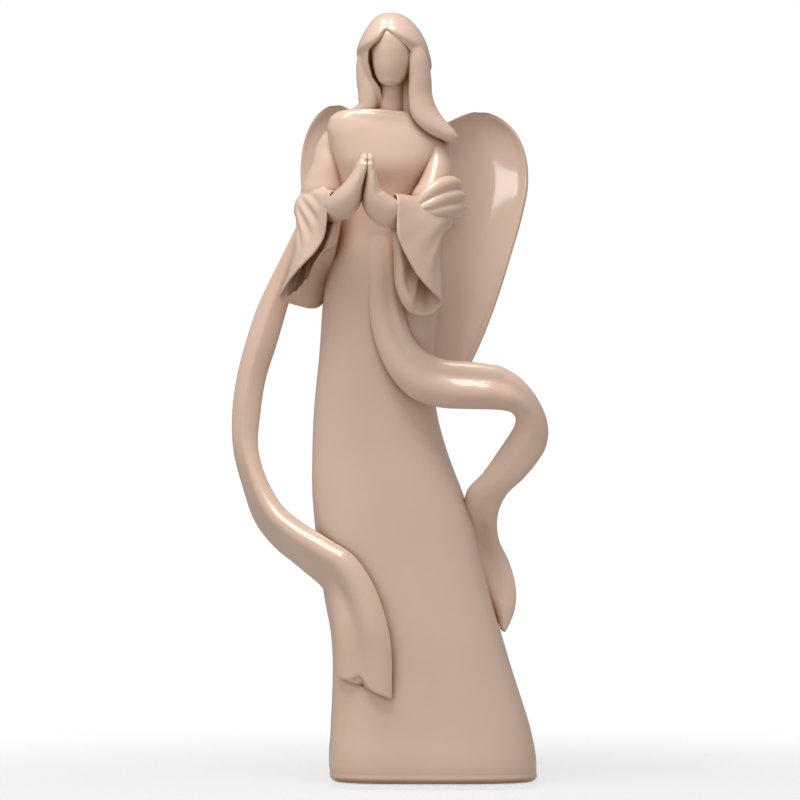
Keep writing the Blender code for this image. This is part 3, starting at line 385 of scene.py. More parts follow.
# Sash sections: the lower or outer edge, the upper or inner edge, thickness, height of one ridge along the
# middle, height of the inner roll, height of the outer lobe, how far the outer flange leans back.
RIGHT_SASH = (
    ((-53.6, 0.5, 221.8), (-48.6, 1.0, 217.5), 3.4, 0.2, 0.0, 0.0, 0.0),
    ((-61.6, 1.0, 206.4), (-54.8, 1.6, 202.5), 3.4, 0.8, 0.0, 0.0, 0.0),
    ((-67.1, 0.8, 195.8), (-57.9, 1.8, 192.2), 3.2, 2.0, 0.0, 0.0, 0.0),
    ((-72.2, 0.0, 184.7), (-60.6, 1.0, 182.7), 3.0, 2.8, 0.0, 0.0, 0.0),
    ((-76.1, -2.0, 171.7), (-63.7, -1.0, 170.4), 3.0, 3.2, 0.0, 0.0, 0.0),
    ((-79.2, -4.0, 157.9), (-67.6, -3.0, 156.7), 3.0, 3.2, 0.0, 0.0, 0.0),
    ((-80.5, -6.5, 142.1), (-69.1, -6.0, 141.7), 3.0, 2.8, 0.2, 0.0, 0.0),
    ((-79.5, -8.5, 129.1), (-69.2, -8.5, 130.4), 3.0, 2.0, 0.6, 0.0, 0.4),
    ((-76.4, -11.0, 114.6), (-64.8, -12.0, 117.9), 3.0, 0.7, 2.0, 0.0, 4.0),
    ((-72.4, -13.5, 101.0), (-57.1, -16.0, 107.1), 3.0, 0.0, 3.2, 0.0, 7.4),
    ((-64.2, -16.0, 90.2), (-48.3, -19.5, 100.7), 3.2, 0.0, 3.8, 0.0, 8.8),
    ((-51.6, -18.0, 80.8), (-35.4, -22.5, 93.5), 3.2, 0.0, 3.9, 0.3, 7.4),
    ((-40.4, -20.0, 73.2), (-24.4, -24.2, 86.4), 3.2, 0.0, 3.7, 1.2, 3.8),
    ((-35.4, -22.0, 62.9), (-16.4, -25.2, 74.2), 3.2, 0.0, 3.4, 1.9, 0.8),
    ((-33.8, -23.0, 53.3), (-11.6, -26.4, 60.9), 3.0, 0.0, 3.0, 2.3, 0.2),
    ((-33.2, -23.7, 44.5), (-9.7, -27.0, 48.4), 2.8, 0.0, 1.9, 1.9, 0.0),
    ((-32.8, -24.0, 39.5), (-9.6, -27.4, 36.9), 2.6, 0.0, 1.7, 1.8, 0.0),
)
LEFT_SASH = (
    ((-22.6, -9.4, 223.0), (-14.6, -7.2, 223.4), 1.6, 0.0, 0.0, 0.0, 0.0),
    ((-23.4, -11.7, 213.0), (-13.6, -9.0, 213.6), 2.6, 0.0, 0.1, 0.1, 0.0),
    ((-23.8, -12.5, 201.5), (-12.1, -9.5, 202.2), 3.4, 0.0, 0.2, 0.3, 0.0),
    ((-23.1, -13.3, 188.7), (-10.9, -10.0, 190.5), 4.0, 0.0, 0.5, 0.7, 0.0),
    ((-21.7, -14.4, 177.0), (-8.7, -10.6, 179.7), 4.6, 0.0, 0.7, 1.2, 0.0),
    ((-18.5, -15.2, 166.6), (-5.7, -10.2, 171.9), 4.8, 0.0, 0.8, 1.8, 0.0),
    ((-12.9, -15.6, 156.1), (-0.5, -9.4, 166.5), 5.0, 0.0, 0.8, 2.3, 0.0),
    ((-5.2, -14.6, 148.4), (6.6, -8.0, 163.4), 4.8, 0.0, 0.8, 2.7, 0.0),
    ((4.2, -12.4, 144.9), (15.0, -6.2, 162.7), 4.4, 0.0, 0.9, 2.9, 0.0),
    ((15.4, -9.8, 144.1), (22.7, -4.6, 161.7), 4.2, 0.0, 0.9, 2.9, 0.0),
    ((25.0, -7.4, 143.9), (30.2, -3.0, 159.5), 4.0, 0.1, 0.8, 2.7, 0.0),
    ((29.6, -5.8, 143.5), (36.2, -2.2, 155.2), 3.9, 0.4, 0.6, 2.0, 0.0),
    ((32.0, -3.8, 142.6), (41.0, -1.0, 149.2), 3.8, 0.8, 0.3, 1.0, 0.0),
    ((33.0, -2.0, 140.8), (44.2, 0.4, 142.4), 3.6, 1.2, 0.1, 0.3, 0.0),
    ((32.3, -0.8, 138.0), (45.3, 1.2, 136.6), 3.4, 1.5, 0.0, 0.0, 0.0),
    ((29.9, 0.0, 134.2), (44.6, 1.8, 130.8), 3.4, 1.6, 0.0, 0.0, 0.0),
    ((25.5, 0.4, 128.0), (41.9, 1.6, 125.2), 3.4, 1.5, 0.0, 0.0, 0.0),
    ((19.4, 0.4, 119.6), (35.8, 1.0, 117.6), 3.4, 1.2, 0.0, 0.0, 0.0),
    ((12.6, 1.2, 112.3), (28.6, 1.4, 110.9), 3.4, 0.9, 0.0, 0.0, 0.0),
    ((11.4, 2.4, 103.0), (24.4, 4.6, 103.1), 3.4, -1.0, 0.0, 0.0, 0.0),
    ((13.8, 3.8, 93.3), (23.4, 10.6, 93.4), 3.0, -3.0, 0.0, 0.0, 0.0),
    ((16.4, 5.6, 84.7), (27.2, 11.6, 84.9), 2.8, -3.2, 0.0, 0.0, 0.0),
    ((18.6, 7.0, 75.0), (30.2, 10.4, 74.8), 2.8, -1.8, 0.0, 0.0, 0.0),
    ((22.1, 7.2, 65.8), (29.9, 9.0, 65.5), 2.6, 0.6, 0.0, 0.0, 0.0),
    ((25.6, 5.0, 58.1), (27.2, 5.0, 57.3), 1.4, 0.0, 0.0, 0.0, 0.0),
)
RIGHT_VALLEY = -0.1  # where the valley lies across each sash, from -1 at its outer edge to 1
LEFT_VALLEY = 0.25
SASH_TAIL_NOTCH = 3.8
SASH_TAIL_SLANT = 3.0

# --- finish ----------------------------------------------------------------------------------------
RESIN_TINTS = ((0.3, (0.78, 0.565, 0.45)), (0.7, (0.82, 0.61, 0.495)))
FELT_TINTS = ((0.3, (0.10, 0.075, 0.06)), (0.7, (0.24, 0.19, 0.15)))
STEEL_TINTS = ((0.3, (0.42, 0.42, 0.43)), (0.7, (0.60, 0.60, 0.61)))
# Painted shade in recesses, where the occlusion darkens the base colour: its warm colour against open
# surfaces, and a recess's reach in metres.
PAINTED_RECESS_SHADE = (0.52, 0.38, 0.26)
RECESS_REACH = 0.009
LACQUER_WEIGHT = 0.7
LACQUER_ROUGHNESS = 0.07

# --- camera and light ------------------------------------------------------------------------------
VIEW_TURN = math.radians(15)  # the camera stands this far to the figure's left of straight ahead
VIEW_DISTANCE = 1.5
VIEW_TARGET = Vector((-0.0138, 0.0, 0.148))
CAMERA_DROP = 0.03  # the camera is this much lower than what it looks at
LENS, SENSOR = 172.8, 36.0
FLOOR_OPACITY = 0.2
FLOOR_RADIUS = 350.0
WARM, WHITE = (1.0, 0.98, 0.95), (1.0, 1.0, 1.0)
# Lights: degrees to the left, degrees up, distance, size, power, colour, whether the lacquer shows it.
LIGHTS = {
    "key": (-12, 72, 0.85, (0.42, 0.42), 4.9, WARM, True),
    "fill": (-34, 34, 2.2, (2.4, 1.8), 6.2, WARM, False),
    "front": (-2, 8, 2.2, (2.4, 1.8), 5.4, WARM, False),
    "window": (17, 10.8, 1.29, (0.22, 0.17), 1.1, WHITE, True),
}
# The castings that the window lights.
WINDOW_SIDE = ("left_wing", "left_elbow_fold", "left_hand", "right_hand")


# --- curves and skins ------------------------------------------------------------------------------
def through(keys, rows, places):
    """Rows of numbers read at places on the smooth curve that passes through each row at its key."""
    keys, rows, places = (np.asarray(x, float) for x in (keys, rows, places))
    slopes = np.gradient(rows, keys, axis=0)
    i = np.clip(np.searchsorted(keys, places, side="right") - 1, 0, len(keys) - 2)
    span = (keys[i + 1] - keys[i])[:, None]
    t = (places - keys[i])[:, None] / span
    return (
        (1 + 2 * t) * (1 - t) ** 2 * rows[i]
        + t * (1 - t) ** 2 * span * slopes[i]
        + t**2 * (3 - 2 * t) * rows[i + 1]
        + t**2 * (t - 1) * span * slopes[i + 1]
    )


def refined(stations, steps):
    """The stations with steps - 1 more between each pair, on a smooth curve by distance between centres."""
    rows = np.array([np.hstack([np.ravel(part) for part in station]) for station in stations], float)
    keys = np.concatenate([[0], np.cumsum(np.linalg.norm(np.diff(rows[:, :3], axis=0), axis=1))])
    places = np.interp(np.arange((len(rows) - 1) * steps + 1) / steps, np.arange(len(rows)), keys)
    return through(keys, rows, places)


def circle(sides):
    """Angles of evenly spaced points round a circle."""
    return np.arange(sides) * 2 * math.pi / sides


def squared(values, squareness):
    """Cosines or sines raised to square off an ellipse; a squareness of 2 changes nothing."""
    return np.sign(values) * np.abs(values) ** (2 / squareness)


def unit(vectors):
    """Vectors scaled to length 1."""
    vectors = np.asarray(vectors, float)
    return vectors / np.linalg.norm(vectors, axis=-1, keepdims=True)


def closed_curve(corners, sides):
    """Evenly spaced places on the smooth closed curve through some corners, starting at the first."""
    corners = np.asarray(corners, float)
    wrapped = np.concatenate([corners[-3:], corners, corners[:4]])
    keys = np.concatenate([[0], np.cumsum(np.linalg.norm(np.diff(wrapped, axis=0), axis=1))])
    start, end = keys[3], keys[3 + len(corners)]
    return through(keys, wrapped, start + (end - start) * np.arange(sides) / sides)


def skin(name, *lofts):
    """One mesh object of closed skins, each over a list of rings of equally many points in millimetres."""
    vertices, faces = [], []
    for rings in lofts:
        rings = np.array(rings, float)
        count, sides = rings.shape[:2]
        start = sum(len(block) for block in vertices)
        vertices += [rings.reshape(-1, 3), rings[0].mean(0)[None], rings[-1].mean(0)[None]]
        first, last = start + count * sides, start + count * sides + 1
        for side in range(sides):
            beside = (side + 1) % sides
            for low in range(start, start + (count - 1) * sides, sides):
                faces.append((low + side, low + beside, low + sides + beside, low + sides + side))
            faces.append((first, start + beside, start + side))
            faces.append((last, first - sides + side, first - sides + beside))
    mesh = bpy.data.meshes.new(name)
    mesh.from_pydata((np.concatenate(vertices) * MM).tolist(), [], faces)
    work = bmesh.new()
    work.from_mesh(mesh)
    bmesh.ops.recalc_face_normals(work, faces=work.faces)
    work.to_mesh(mesh)
    work.free()
    mesh.shade_smooth()
    piece = bpy.data.objects.new(name, mesh)
    bpy.context.scene.collection.objects.link(piece)
    return piece


def settle(piece):
    """Makes what a piece's modifiers show its own mesh."""
    bpy.context.view_layer.update()
    evaluated = piece.evaluated_get(bpy.context.evaluated_depsgraph_get())
    mesh = bpy.data.meshes.new_from_object(evaluated)
    piece.modifiers.clear()
    piece.data = mesh
    mesh.shade_smooth()


def cut(piece, tool):
    """Cuts a tool from a piece and removes the tool."""
    modifier = piece.modifiers.new("Cut", "BOOLEAN")
    modifier.operation = "DIFFERENCE"
    modifier.solver = "EXACT"
    modifier.object = tool
    settle(piece)
    bpy.data.objects.remove(tool)


def melt(piece, grain, rounds):
    """Runs a piece's overlapping skins into one casting with softened edges."""
    remesh = piece.modifiers.new("Cast", "REMESH")
    remesh.mode = "VOXEL"
    remesh.voxel_size = grain * MM
    smooth = piece.modifiers.new("Soften", "SMOOTH")
    smooth.factor = 0.5
    smooth.iterations = rounds
    settle(piece)


def sculpt(piece, move):
    """Moves a piece's vertices: move takes and gives an array of places in millimetres."""
    places = np.empty(len(piece.data.vertices) * 3, np.float32)
    piece.data.vertices.foreach_get("co", places)
    moved = move(places.reshape(-1, 3).astype(float) / MM) * MM
    piece.data.vertices.foreach_set("co", moved.astype(np.float32).ravel())
    piece.data.update()


# --- the castings ----------------------------------------------------------------------------------
def gown_ring(section, inset=0.0, sides=160):
    """One level of the gown, or of a surface that lies inset from it."""
    height, centre, half, front, back, squareness, slope = section
    angle = circle(sides)
    across = (half - inset) * squared(np.cos(angle), squareness)
    depth = np.where(np.sin(angle) < 0, front, back) - inset
    along = depth * squared(np.sin(angle), squareness)
    x = across * math.cos(GOWN_TURN) - along * math.sin(GOWN_TURN)
    y = across * math.sin(GOWN_TURN) + along * math.cos(GOWN_TURN)
    return np.stack([centre + x, y, height + slope * across], axis=1)


def gown_sections(heights):
    """Gown sections at the given heights."""
    table = np.array(GOWN, float)
    return np.column_stack([heights, through(table[:, 0], table[:, 1:], heights)])


def make_gown():
    """The hollow gown and bodice: down the outside, round the hem, and up the inside."""
    top = GOWN[-1][0]
    over_shoulders = top - SHOULDER_DEPTH * (1 - np.cos(np.linspace(0, math.pi / 2, 24)))
    down_skirt = np.arange(top - SHOULDER_DEPTH - 1, 5, -GOWN_STEP)
    near_hem = np.linspace(4.0, HEM_BOTTOM + 0.7, 8)
    heights = np.concatenate([over_shoulders, down_skirt, near_hem, [HEM_BOTTOM + 0.25, HEM_BOTTOM]])
    ledge = PLATE_TOP + 0.3
    rings = [gown_ring(section) for section in gown_sections(heights)]
    rings += [gown_ring(section, WALL) for section in gown_sections(np.array([HEM_BOTTOM, ledge]))]
    inside = np.linspace(ledge, CAVITY_TOP, 12)
    rings += [gown_ring(section, WALL + LEDGE) for section in gown_sections(inside)]
    return skin("gown_casting", rings)


def oval_rings(sections, sides, steps):
    """Level oval rings from sections of centre, half width and half depth."""
    angle = circle(sides)
    return [
        np.stack([x + half * np.cos(angle), y + deep * np.sin(angle), np.full(sides, z)], axis=1)
        for x, y, z, half, deep in refined(sections, steps)
    ]


def make_head():
    """The blank face and skull on the neck."""
    head = skin("head_casting", oval_rings(SKULL, 64, 10), oval_rings(NECK, 48, 8))
    melt(head, GRAIN, 6)
    return head


def hair_rings(sides=144):
    """Level rings down the hair, standing out above the line where the swept cap ends."""
    angle = circle(sides)
    turn = (np.degrees(angle) + 90 + 180) % 360 - 180
    sweep = np.array(HAIR_SWEEP, float)
    line = np.interp(turn, sweep[:, 0], sweep[:, 1])
    fade = np.clip((150 - np.abs(turn)) / 40, 0, 1)
    behind = np.clip((np.abs(turn) - 70) / 40, 0, 1)
    rings = []
    for x, y, z, half, front, back, slope in refined(HAIR, 8):
        step = 1 / (1 + np.exp((line - z) / CAP_EDGE)) - 0.6
        below = np.clip((285 - z) / 20, 0, 1)
        wave = np.cos(np.radians(turn) * STRAND_COUNT + STRAND_TWIST * (z - 260))
        strands = STRAND_DEPTH * behind * below * wave
        beside = half * np.sin(np.radians(turn)) / PARTING_HALF
        parting = PARTING_DEPTH * np.exp(-(beside**2)) * np.clip((z - 292) / 2, 0, 1)
        out = CAP_STEP * step * fade * np.clip((half - 6) / 4, 0, 1) + strands - parting
        across = (half + out) * np.cos(angle)
        along = (np.where(np.sin(angle) < 0, front, back) + out) * np.sin(angle)
        rings.append(np.stack([x + across, y + along, z + slope * across], axis=1))
    return rings


def roll_rings(stations, steps, sides):
    """Oval sections along a roll, from its centre, outward direction, half height and half thickness."""
    rows = refined(stations, steps)
    heading = np.gradient(rows[:, :3], axis=0)
    angle = circle(sides)
    rings = []
    for row, ahead in zip(rows, heading):
        centre, outward, tall, thick = row[:3], unit(row[3:6]), row[6], row[7]
        up = unit(np.cross(outward, ahead))
        rings.append(centre + np.outer(thick * np.cos(angle), outward) + np.outer(tall * np.sin(angle), up))
    return rings


def make_hair():
    """Hair swept from a parting over two side locks, open in front of the face."""
    hair = skin("hair_cap", hair_rings())
    outline = np.array(HAIR_OPENING)
    walls = [np.insert(outline, 1, y, axis=1) for y in (-40.0, HAIR_OPENING_BACK_Y)]
    cut(hair, skin("opening", walls))
    locks = skin("hair_locks", roll_rings(LEFT_LOCK, 8, 40), roll_rings(RIGHT_LOCK, 8, 40))
    hair = joined("hair_casting", hair, locks)
    melt(hair, GRAIN, 6)
    return hair


def joined(name, *parts):
    """One piece made of several overlapping meshes."""
    work = bmesh.new()
    for part in parts:
        work.from_mesh(part.data)
        bpy.data.objects.remove(part)
    mesh = bpy.data.meshes.new(name)
    work.to_mesh(mesh)
    work.free()
    piece = bpy.data.objects.new(name, mesh)
    bpy.context.scene.collection.objects.link(piece)
    return piece


def wing_rings(side, lift, shift, sides=96):
    """Level rings up a cupped wing with a rolled rim. side is 1 for the left wing."""
    table = np.array(WING, float)
    low, high = table[0, 0], table[-1, 0]
    keys = np.arccos(np.clip(1 - 2 * (table[:, 0] - low) / (high - low), -1, 1))
    places = np.linspace(0, math.pi, 110)
    heights = low + (high - low) * (1 - np.cos(places)) / 2
    rows = np.column_stack([heights, through(keys, table[:, 1:], places)])
    outline = np.concatenate([rows[:, [1, 0]], rows[::-1, [2, 0]]])
    share = (1 - np.cos(np.linspace(0, math.pi, sides // 2 + 1))) / 2
    rings = []
    for height, inner, outer, cup in rows:
        reach = inner + (outer - inner) * share
        here = np.column_stack([reach, np.full(len(reach), height)])
        edge = np.linalg.norm(here[:, None] - outline[None], axis=2).min(axis=1)
        back = cup * np.sin(math.pi * share)
        body = np.interp(reach, [8.0, 28.0], [WING_ROOT_HALF, WING_RIM_HALF])
        crest = np.exp(-(((edge - WING_EDGE_RADIUS) / WING_BEAD_HALF) ** 2))
        bead = WING_BEAD * crest * np.clip((reach - 10) / 8, 0, 1)
        rounded = np.sqrt(np.clip(1 - (1 - np.clip(edge / WING_EDGE_RADIUS, 0, 1)) ** 2, 0, 1))
        front = back - (body + bead) * rounded
        rear = back + (body + 0.4 * bead) * rounded
        face = np.concatenate([front, rear[-2:0:-1]])
        reach = np.concatenate([reach, reach[-2:0:-1]])
        x = TORSO_X + side * (reach * math.cos(WING_SWEEP) - face * math.sin(WING_SWEEP) + shift)
        y = WING_ROOT_Y + reach * math.sin(WING_SWEEP) + face * math.cos(WING_SWEEP)
        rings.append(np.stack([x, y, np.full(len(x), height + lift)], axis=1))
    return rings


def make_wing(name, side, lift, shift):
    """One cupped wing."""
    return skin(name, wing_rings(side, lift, shift))


def bell_ring(elbow, rim, drape, share, sides=120):
    """A section of a bell sleeve at a share of the way from its elbow, 0, to its rim, 1."""
    centre, up, outer = (np.array(part) for part in elbow)
    angle = circle(sides)
    start = centre + np.outer(np.cos(angle), up) + np.outer(np.sin(angle), outer)
    end = closed_curve(rim, sides)
    if share >= 0:
        turn = angle / (2 * math.pi)
        near = np.exp(-(((turn - DRAPE_TURN) / DRAPE_SPREAD) ** 2))
        sag = near * share**3 * (1 - share) * DRAPE_PEAK
        return start + (end - start) * share + np.outer(sag, drape)
    behind = np.cross(up, outer)
    behind *= np.sign(behind[1]) / np.linalg.norm(behind)
    return centre + (start - centre) * math.sqrt(1 - share**2) - behind * share * np.linalg.norm(outer)


def outward_of(ring):
    """The direction that faces out of a ring, at each of its points."""
    along = np.roll(ring, -1, axis=0) - np.roll(ring, 1, axis=0)
    middle = ring.mean(0)
    facing = sum(np.cross(a - middle, b - middle) for a, b in zip(ring, np.roll(ring, -1, axis=0)))
    return -unit(np.cross(unit(facing), along))


def shrunk(ring, back_wall):
    """A bell section brought in by the sleeve's wall, which is thicker along the inner edge."""
    turn = np.arange(len(ring)) / len(ring)
    inner = np.clip((turn - 0.46) / 0.14, 0, 1) * np.clip((1 - turn) / 0.26, 0, 1)
    wall = RIM_FRONT_WALL + (back_wall - RIM_FRONT_WALL) * inner
    return ring - outward_of(ring) * wall[:, None]


def pleated(ring, share, pleats):
    """A bell section with fine pleats that spread from the elbow and fade towards the rim."""
    centre_turn, count = pleats
    turn = np.arange(len(ring)) / len(ring)
    near = np.exp(-(((turn - centre_turn) / PLEAT_SPREAD) ** 2))
    depth = PLEAT_DEPTH * max(0.0, math.sin(math.pi * min(1.0, share * 1.25))) ** 0.8
    height = near * depth * np.cos(2 * math.pi * count * (turn - centre_turn))
    return ring + outward_of(ring) * height[:, None]


def bell_rings(elbow, rim, drape, back_wall, pleats):
    """The skin of a bell sleeve: over its outside, round the rolled rim and into the pocket of its mouth."""
    behind = np.linspace(0.15, math.pi / 2, 12, endpoint=False)
    rings = [bell_ring(elbow, rim, drape, -math.cos(turn)) for turn in behind]
    for share in np.linspace(0, 1, 48):
        ring = bell_ring(elbow, rim, drape, share)
        rings.append(pleated(ring, share, pleats) if share > 0 else ring)
    outer, before = rings[-1], rings[-2]
    inner = shrunk(bell_ring(elbow, rim, (0, 0, 0), 1.0), back_wall)
    middle, half = (outer + inner) / 2, (outer - inner) / 2
    ahead = unit(outer - before) * np.linalg.norm(half, axis=1)[:, None]
    rings += [middle + half * math.cos(a) + ahead * math.sin(a) for a in np.linspace(0, math.pi, 9)[1:]]
    for share in np.linspace(1, 1 - POCKET_DEPTH, 14)[1:]:
        rings.append(shrunk(bell_ring(elbow, rim, (0, 0, 0), share), back_wall))
    return rings


def make_sleeve(name, arm, elbow, rim, drape, back_wall, pleats):
    """An upper arm and the bell that hangs from its elbow."""
    bell = bell_rings(elbow, rim, drape, back_wall, pleats)
    sleeve = skin(name, bell, oval_rings(arm, 64, 8))
    melt(sleeve, GRAIN, 8)
    return sleeve


def hand_rings(sections, steps=8, sides=48):
    """Rings along a forearm and palm, widest along the plane where the palms meet."""
    rows = refined(sections, steps)
    heading = np.gradient(rows[:, :3], axis=0)
    wide = np.array([math.sin(PALM_TURN), -math.cos(PALM_TURN), 0.0])
    angle = circle(sides)
    rings = []
    for (x, y, z, thick, half), ahead in zip(rows, heading):
        side = unit(np.cross(wide, ahead))
        broad = unit(np.cross(ahead, side))
        section = np.outer(thick * np.cos(angle), side) + np.outer(half * np.sin(angle), broad)
        rings.append(np.array([x, y, z]) + section)
    return rings


def finger_rings(side, place, tip, radius, sides=20):
    """One finger of a praying hand, from inside the palm to its rounded tip."""
    across = np.array([math.cos(PALM_TURN), math.sin(PALM_TURN), 0.0]) * side
    wide = np.array([math.sin(PALM_TURN), -math.cos(PALM_TURN), 0.0])
    root = PALM_MEETING + across * (FINGER_OFFSET + FINGER_SPLAY) + wide * place * 0.8 + (0, 0, FINGER_ROOT_Z)
    lean = PALM_LEAN * (tip - FINGER_ROOT_Z)
    end = PALM_MEETING + across * FINGER_OFFSET * 0.75 + wide * place * 0.72 + (lean, 0, tip)
    angle = circle(sides)
    flat = np.outer(np.cos(angle), across) + np.outer(np.sin(angle), wide)
    rings = []
    for share in np.linspace(0, FINGER_ROUND, 18):
        girth = radius * (1 - FINGER_TAPER * share) * (0.35 + 0.65 * min(1.0, share / 0.35))
        rings.append(root + (end - root) * share + flat * girth)
    for turn in np.linspace(0, 1.45, 8)[1:]:
        share = FINGER_ROUND + (1 - FINGER_ROUND) * math.sin(turn)
        rings.append(root + (end - root) * share + flat * radius * 0.89 * math.cos(turn))
    return rings


def make_hand(name, side, sections):
    """One forearm and praying hand, flat where the palms meet. side is 1 for the left hand."""
    lofts = [hand_rings(sections)]
    lofts += [finger_rings(side, place, tip, radius) for place, tip, radius in FINGERS]
    hand = skin(name, *lofts)
    melt(hand, HAND_GRAIN, 4)
    across = np.array([math.cos(PALM_TURN), math.sin(PALM_TURN), 0.0]) * side

    def flatten(places):
        lean = PALM_LEAN * np.clip(places[:, 2:] - FINGER_ROOT_Z, 0, None) * (1.0, 0.0, 0.0)
        past = 0.02 - (places - PALM_MEETING - lean) @ across
        return places + np.outer(np.clip(past, 0, None), across)

    sculpt(hand, flatten)
    return hand


def sash_rings(stations, valley, steps=10, sides=56):
    """Closed sections along a sash, rounded at both edges and creased along its valley."""
    rows = refined(stations, steps)
    heading = unit(np.gradient((rows[:, :3] + rows[:, 3:6]) / 2, axis=0))
    share = -np.cos(np.linspace(0, math.pi, sides // 2 + 1))
    body = np.sqrt(np.clip(1 - np.abs(share) ** 3, 0, 1))
    roll = np.clip(1 - ((share - (1 + valley) / 2) / ((1 - valley) / 2)) ** 2, 0, None) * (share > valley)
    lobe = np.clip(1 - ((share - (valley - 1) / 2) / ((1 + valley) / 2)) ** 2, 0, None) * (share <= valley)
    flange = np.clip((valley - share) / (1 + valley), 0, None)
    ridge = 1 - np.abs(share) ** 1.2
    rings = []
    for row, ahead in zip(rows, heading):
        outer, inner, thickness = row[:3], row[3:6], row[6]
        middle = row[7] * ridge + row[8] * roll + row[9] * lobe - row[10] * flange
        across = (inner - outer) / 2
        outward = unit(np.cross(ahead, across))
        top = middle + thickness / 2 * body
        low = middle - thickness / 2 * body
        height = np.concatenate([top, low[-2:0:-1]])
        reach = np.concatenate([share, share[-2:0:-1]])
        rings.append((outer + inner) / 2 + np.outer(reach, across) + np.outer(height, outward))
    return rings


def rounded_end(rings, ahead, length, steps=5):
    """Rings that round off the last one, which stands as the first of them."""
    end = rings[-1]
    sides = len(end)
    mirrored = end[(-np.arange(sides)) % sides]
    middle = (end + mirrored) / 2
    half = (end - mirrored) / 2
    return [
        middle + half * math.cos(turn) + np.asarray(ahead) * length * math.sin(turn)
        for turn in np.linspace(0, math.pi / 2 - 0.1, steps + 1)[1:]
    ]


def make_right_sash():
    """The long sash that hangs from the right elbow and ends in a swallow tail on the gown's front."""
    rings = sash_rings(RIGHT_SASH, RIGHT_VALLEY)
    steps = 14
    for ring, near in zip(rings[-steps:], np.linspace(0, 1, steps)):
        share = (ring[:, 0] - ring[:, 0].mean()) / (ring[:, 0].max() - ring[:, 0].min()) * 2
        notch = SASH_TAIL_NOTCH * np.exp(-(((share + 0.1) / 0.24) ** 2))
        ring[:, 2] += near * (notch - SASH_TAIL_SLANT * share)
    rings += rounded_end(rings, (0, 0, -1), 1.2)
    sash = skin("right_sash_casting", rings)
    soften(sash, 3)
    return sash


def make_left_sash():
    """The sash that lies down the gown's front, loops out at its left side and ends in a point."""
    sash = skin("left_sash_casting", sash_rings(LEFT_SASH, LEFT_VALLEY))
    soften(sash, 8)
    return sash


def soften(piece, rounds):
    """Rounds a piece's creases a little."""
    smooth = piece.modifiers.new("Soften", "SMOOTH")
    smooth.factor = 0.5
    smooth.iterations = rounds
    settle(piece)


def make_elbow_fold():
    """The three rolls of sash bunched round the outside of the left elbow."""
    rolls = (ELBOW_UPPER_ROLL, ELBOW_MIDDLE_ROLL, ELBOW_LOWER_ROLL)
    fold = skin("left_elbow_fold_casting", *[roll_rings(roll, 10, 40) for roll in rolls])
    melt(fold, ROLL_GRAIN, 6)
    return fold


# --- materials -------------------------------------------------------------------------------------
def nodes_of(name):
    """A new node material, its Principled shader, its nodes and its links."""
    material = bpy.data.materials.new(name)
    material.use_nodes = True
    tree = material.node_tree
    return material, tree.nodes["Principled BSDF"], tree.nodes, tree.links


def noise(nodes, links, scale, detail=2.0, roughness=0.5):
    """A noise texture in object space, scale in repeats per metre."""
    place = nodes.new("ShaderNodeTexCoord")
    texture = nodes.new("ShaderNodeTexNoise")
    texture.inputs["Scale"].default_value = scale
    texture.inputs["Detail"].default_value = detail
    texture.inputs["Roughness"].default_value = roughness
    links.new(place.outputs["Object"], texture.inputs["Vector"])
    return texture


def ramp(nodes, links, source, stops):
    """A colour ramp driven by source: stops are a place and a colour."""
    made = nodes.new("ShaderNodeValToRGB")
    points = made.color_ramp.elements
    for _ in range(len(stops) - 2):
        points.new(0.5)
    for point, (place, colour) in zip(points, stops):
        point.position = place
        point.color = (*colour, 1.0)
    links.new(source, made.inputs["Fac"])
    return made


def spread(nodes, links, source, low, high):
    """A value that runs from low to high as source runs from 0 to 1."""
    made = nodes.new("ShaderNodeMapRange")
    made.inputs["To Min"].default_value = low
    made.inputs["To Max"].default_value = high
    links.new(source, made.inputs["Value"])
    return made.outputs["Result"]


def bump(nodes, links, shader, source, strength, distance):
    """A bump from source, its height given in metres by distance."""
    made = nodes.new("ShaderNodeBump")
    made.inputs["Strength"].default_value = strength
    made.inputs["Distance"].default_value = distance
    links.new(source, made.inputs["Height"])
    links.new(made.outputs["Normal"], shader.inputs["Normal"])


def resin_material():
    """Ivory-pink cast resin under a clear glossy lacquer, with painted shade darkening its recesses."""
    material, shader, nodes, links = nodes_of("lacquered_resin")
    broad = noise(nodes, links, 28, 3.0)
    tint = ramp(nodes, links, broad.outputs["Fac"], RESIN_TINTS)
    # Painted shade: the base colour is multiplied towards a warm brown wherever the occlusion finds a recess
    # nearby.
    recess = nodes.new("ShaderNodeAmbientOcclusion")
    recess.samples = 8
    recess.inputs["Distance"].default_value = RECESS_REACH
    painted_shade = ramp(nodes, links, recess.outputs["AO"], ((0.25, PAINTED_RECESS_SHADE), (0.85, (1.0, 1.0, 1.0))))
    shaded_tint = nodes.new("ShaderNodeMix")
    shaded_tint.data_type = "RGBA"
    shaded_tint.blend_type = "MULTIPLY"
    shaded_tint.inputs["Factor"].default_value = 1.0
    links.new(tint.outputs["Color"], shaded_tint.inputs["A"])
    links.new(painted_shade.outputs["Color"], shaded_tint.inputs["B"])
    links.new(shaded_tint.outputs["Result"], shader.inputs["Base Color"])
    cloud = noise(nodes, links, 160, 4.0, 0.6)
    links.new(spread(nodes, links, cloud.outputs["Fac"], 0.28, 0.40), shader.inputs["Roughness"])
    ripple = noise(nodes, links, 90, 2.0)
    bump(nodes, links, shader, ripple.outputs["Fac"], 0.25, 0.0003)
    shader.inputs["Specular IOR Level"].default_value = 0.5
    shader.inputs["Coat Weight"].default_value = LACQUER_WEIGHT
    shader.inputs["Coat Roughness"].default_value = LACQUER_ROUGHNESS
    shader.inputs["Coat IOR"].default_value = 1.5
    return material


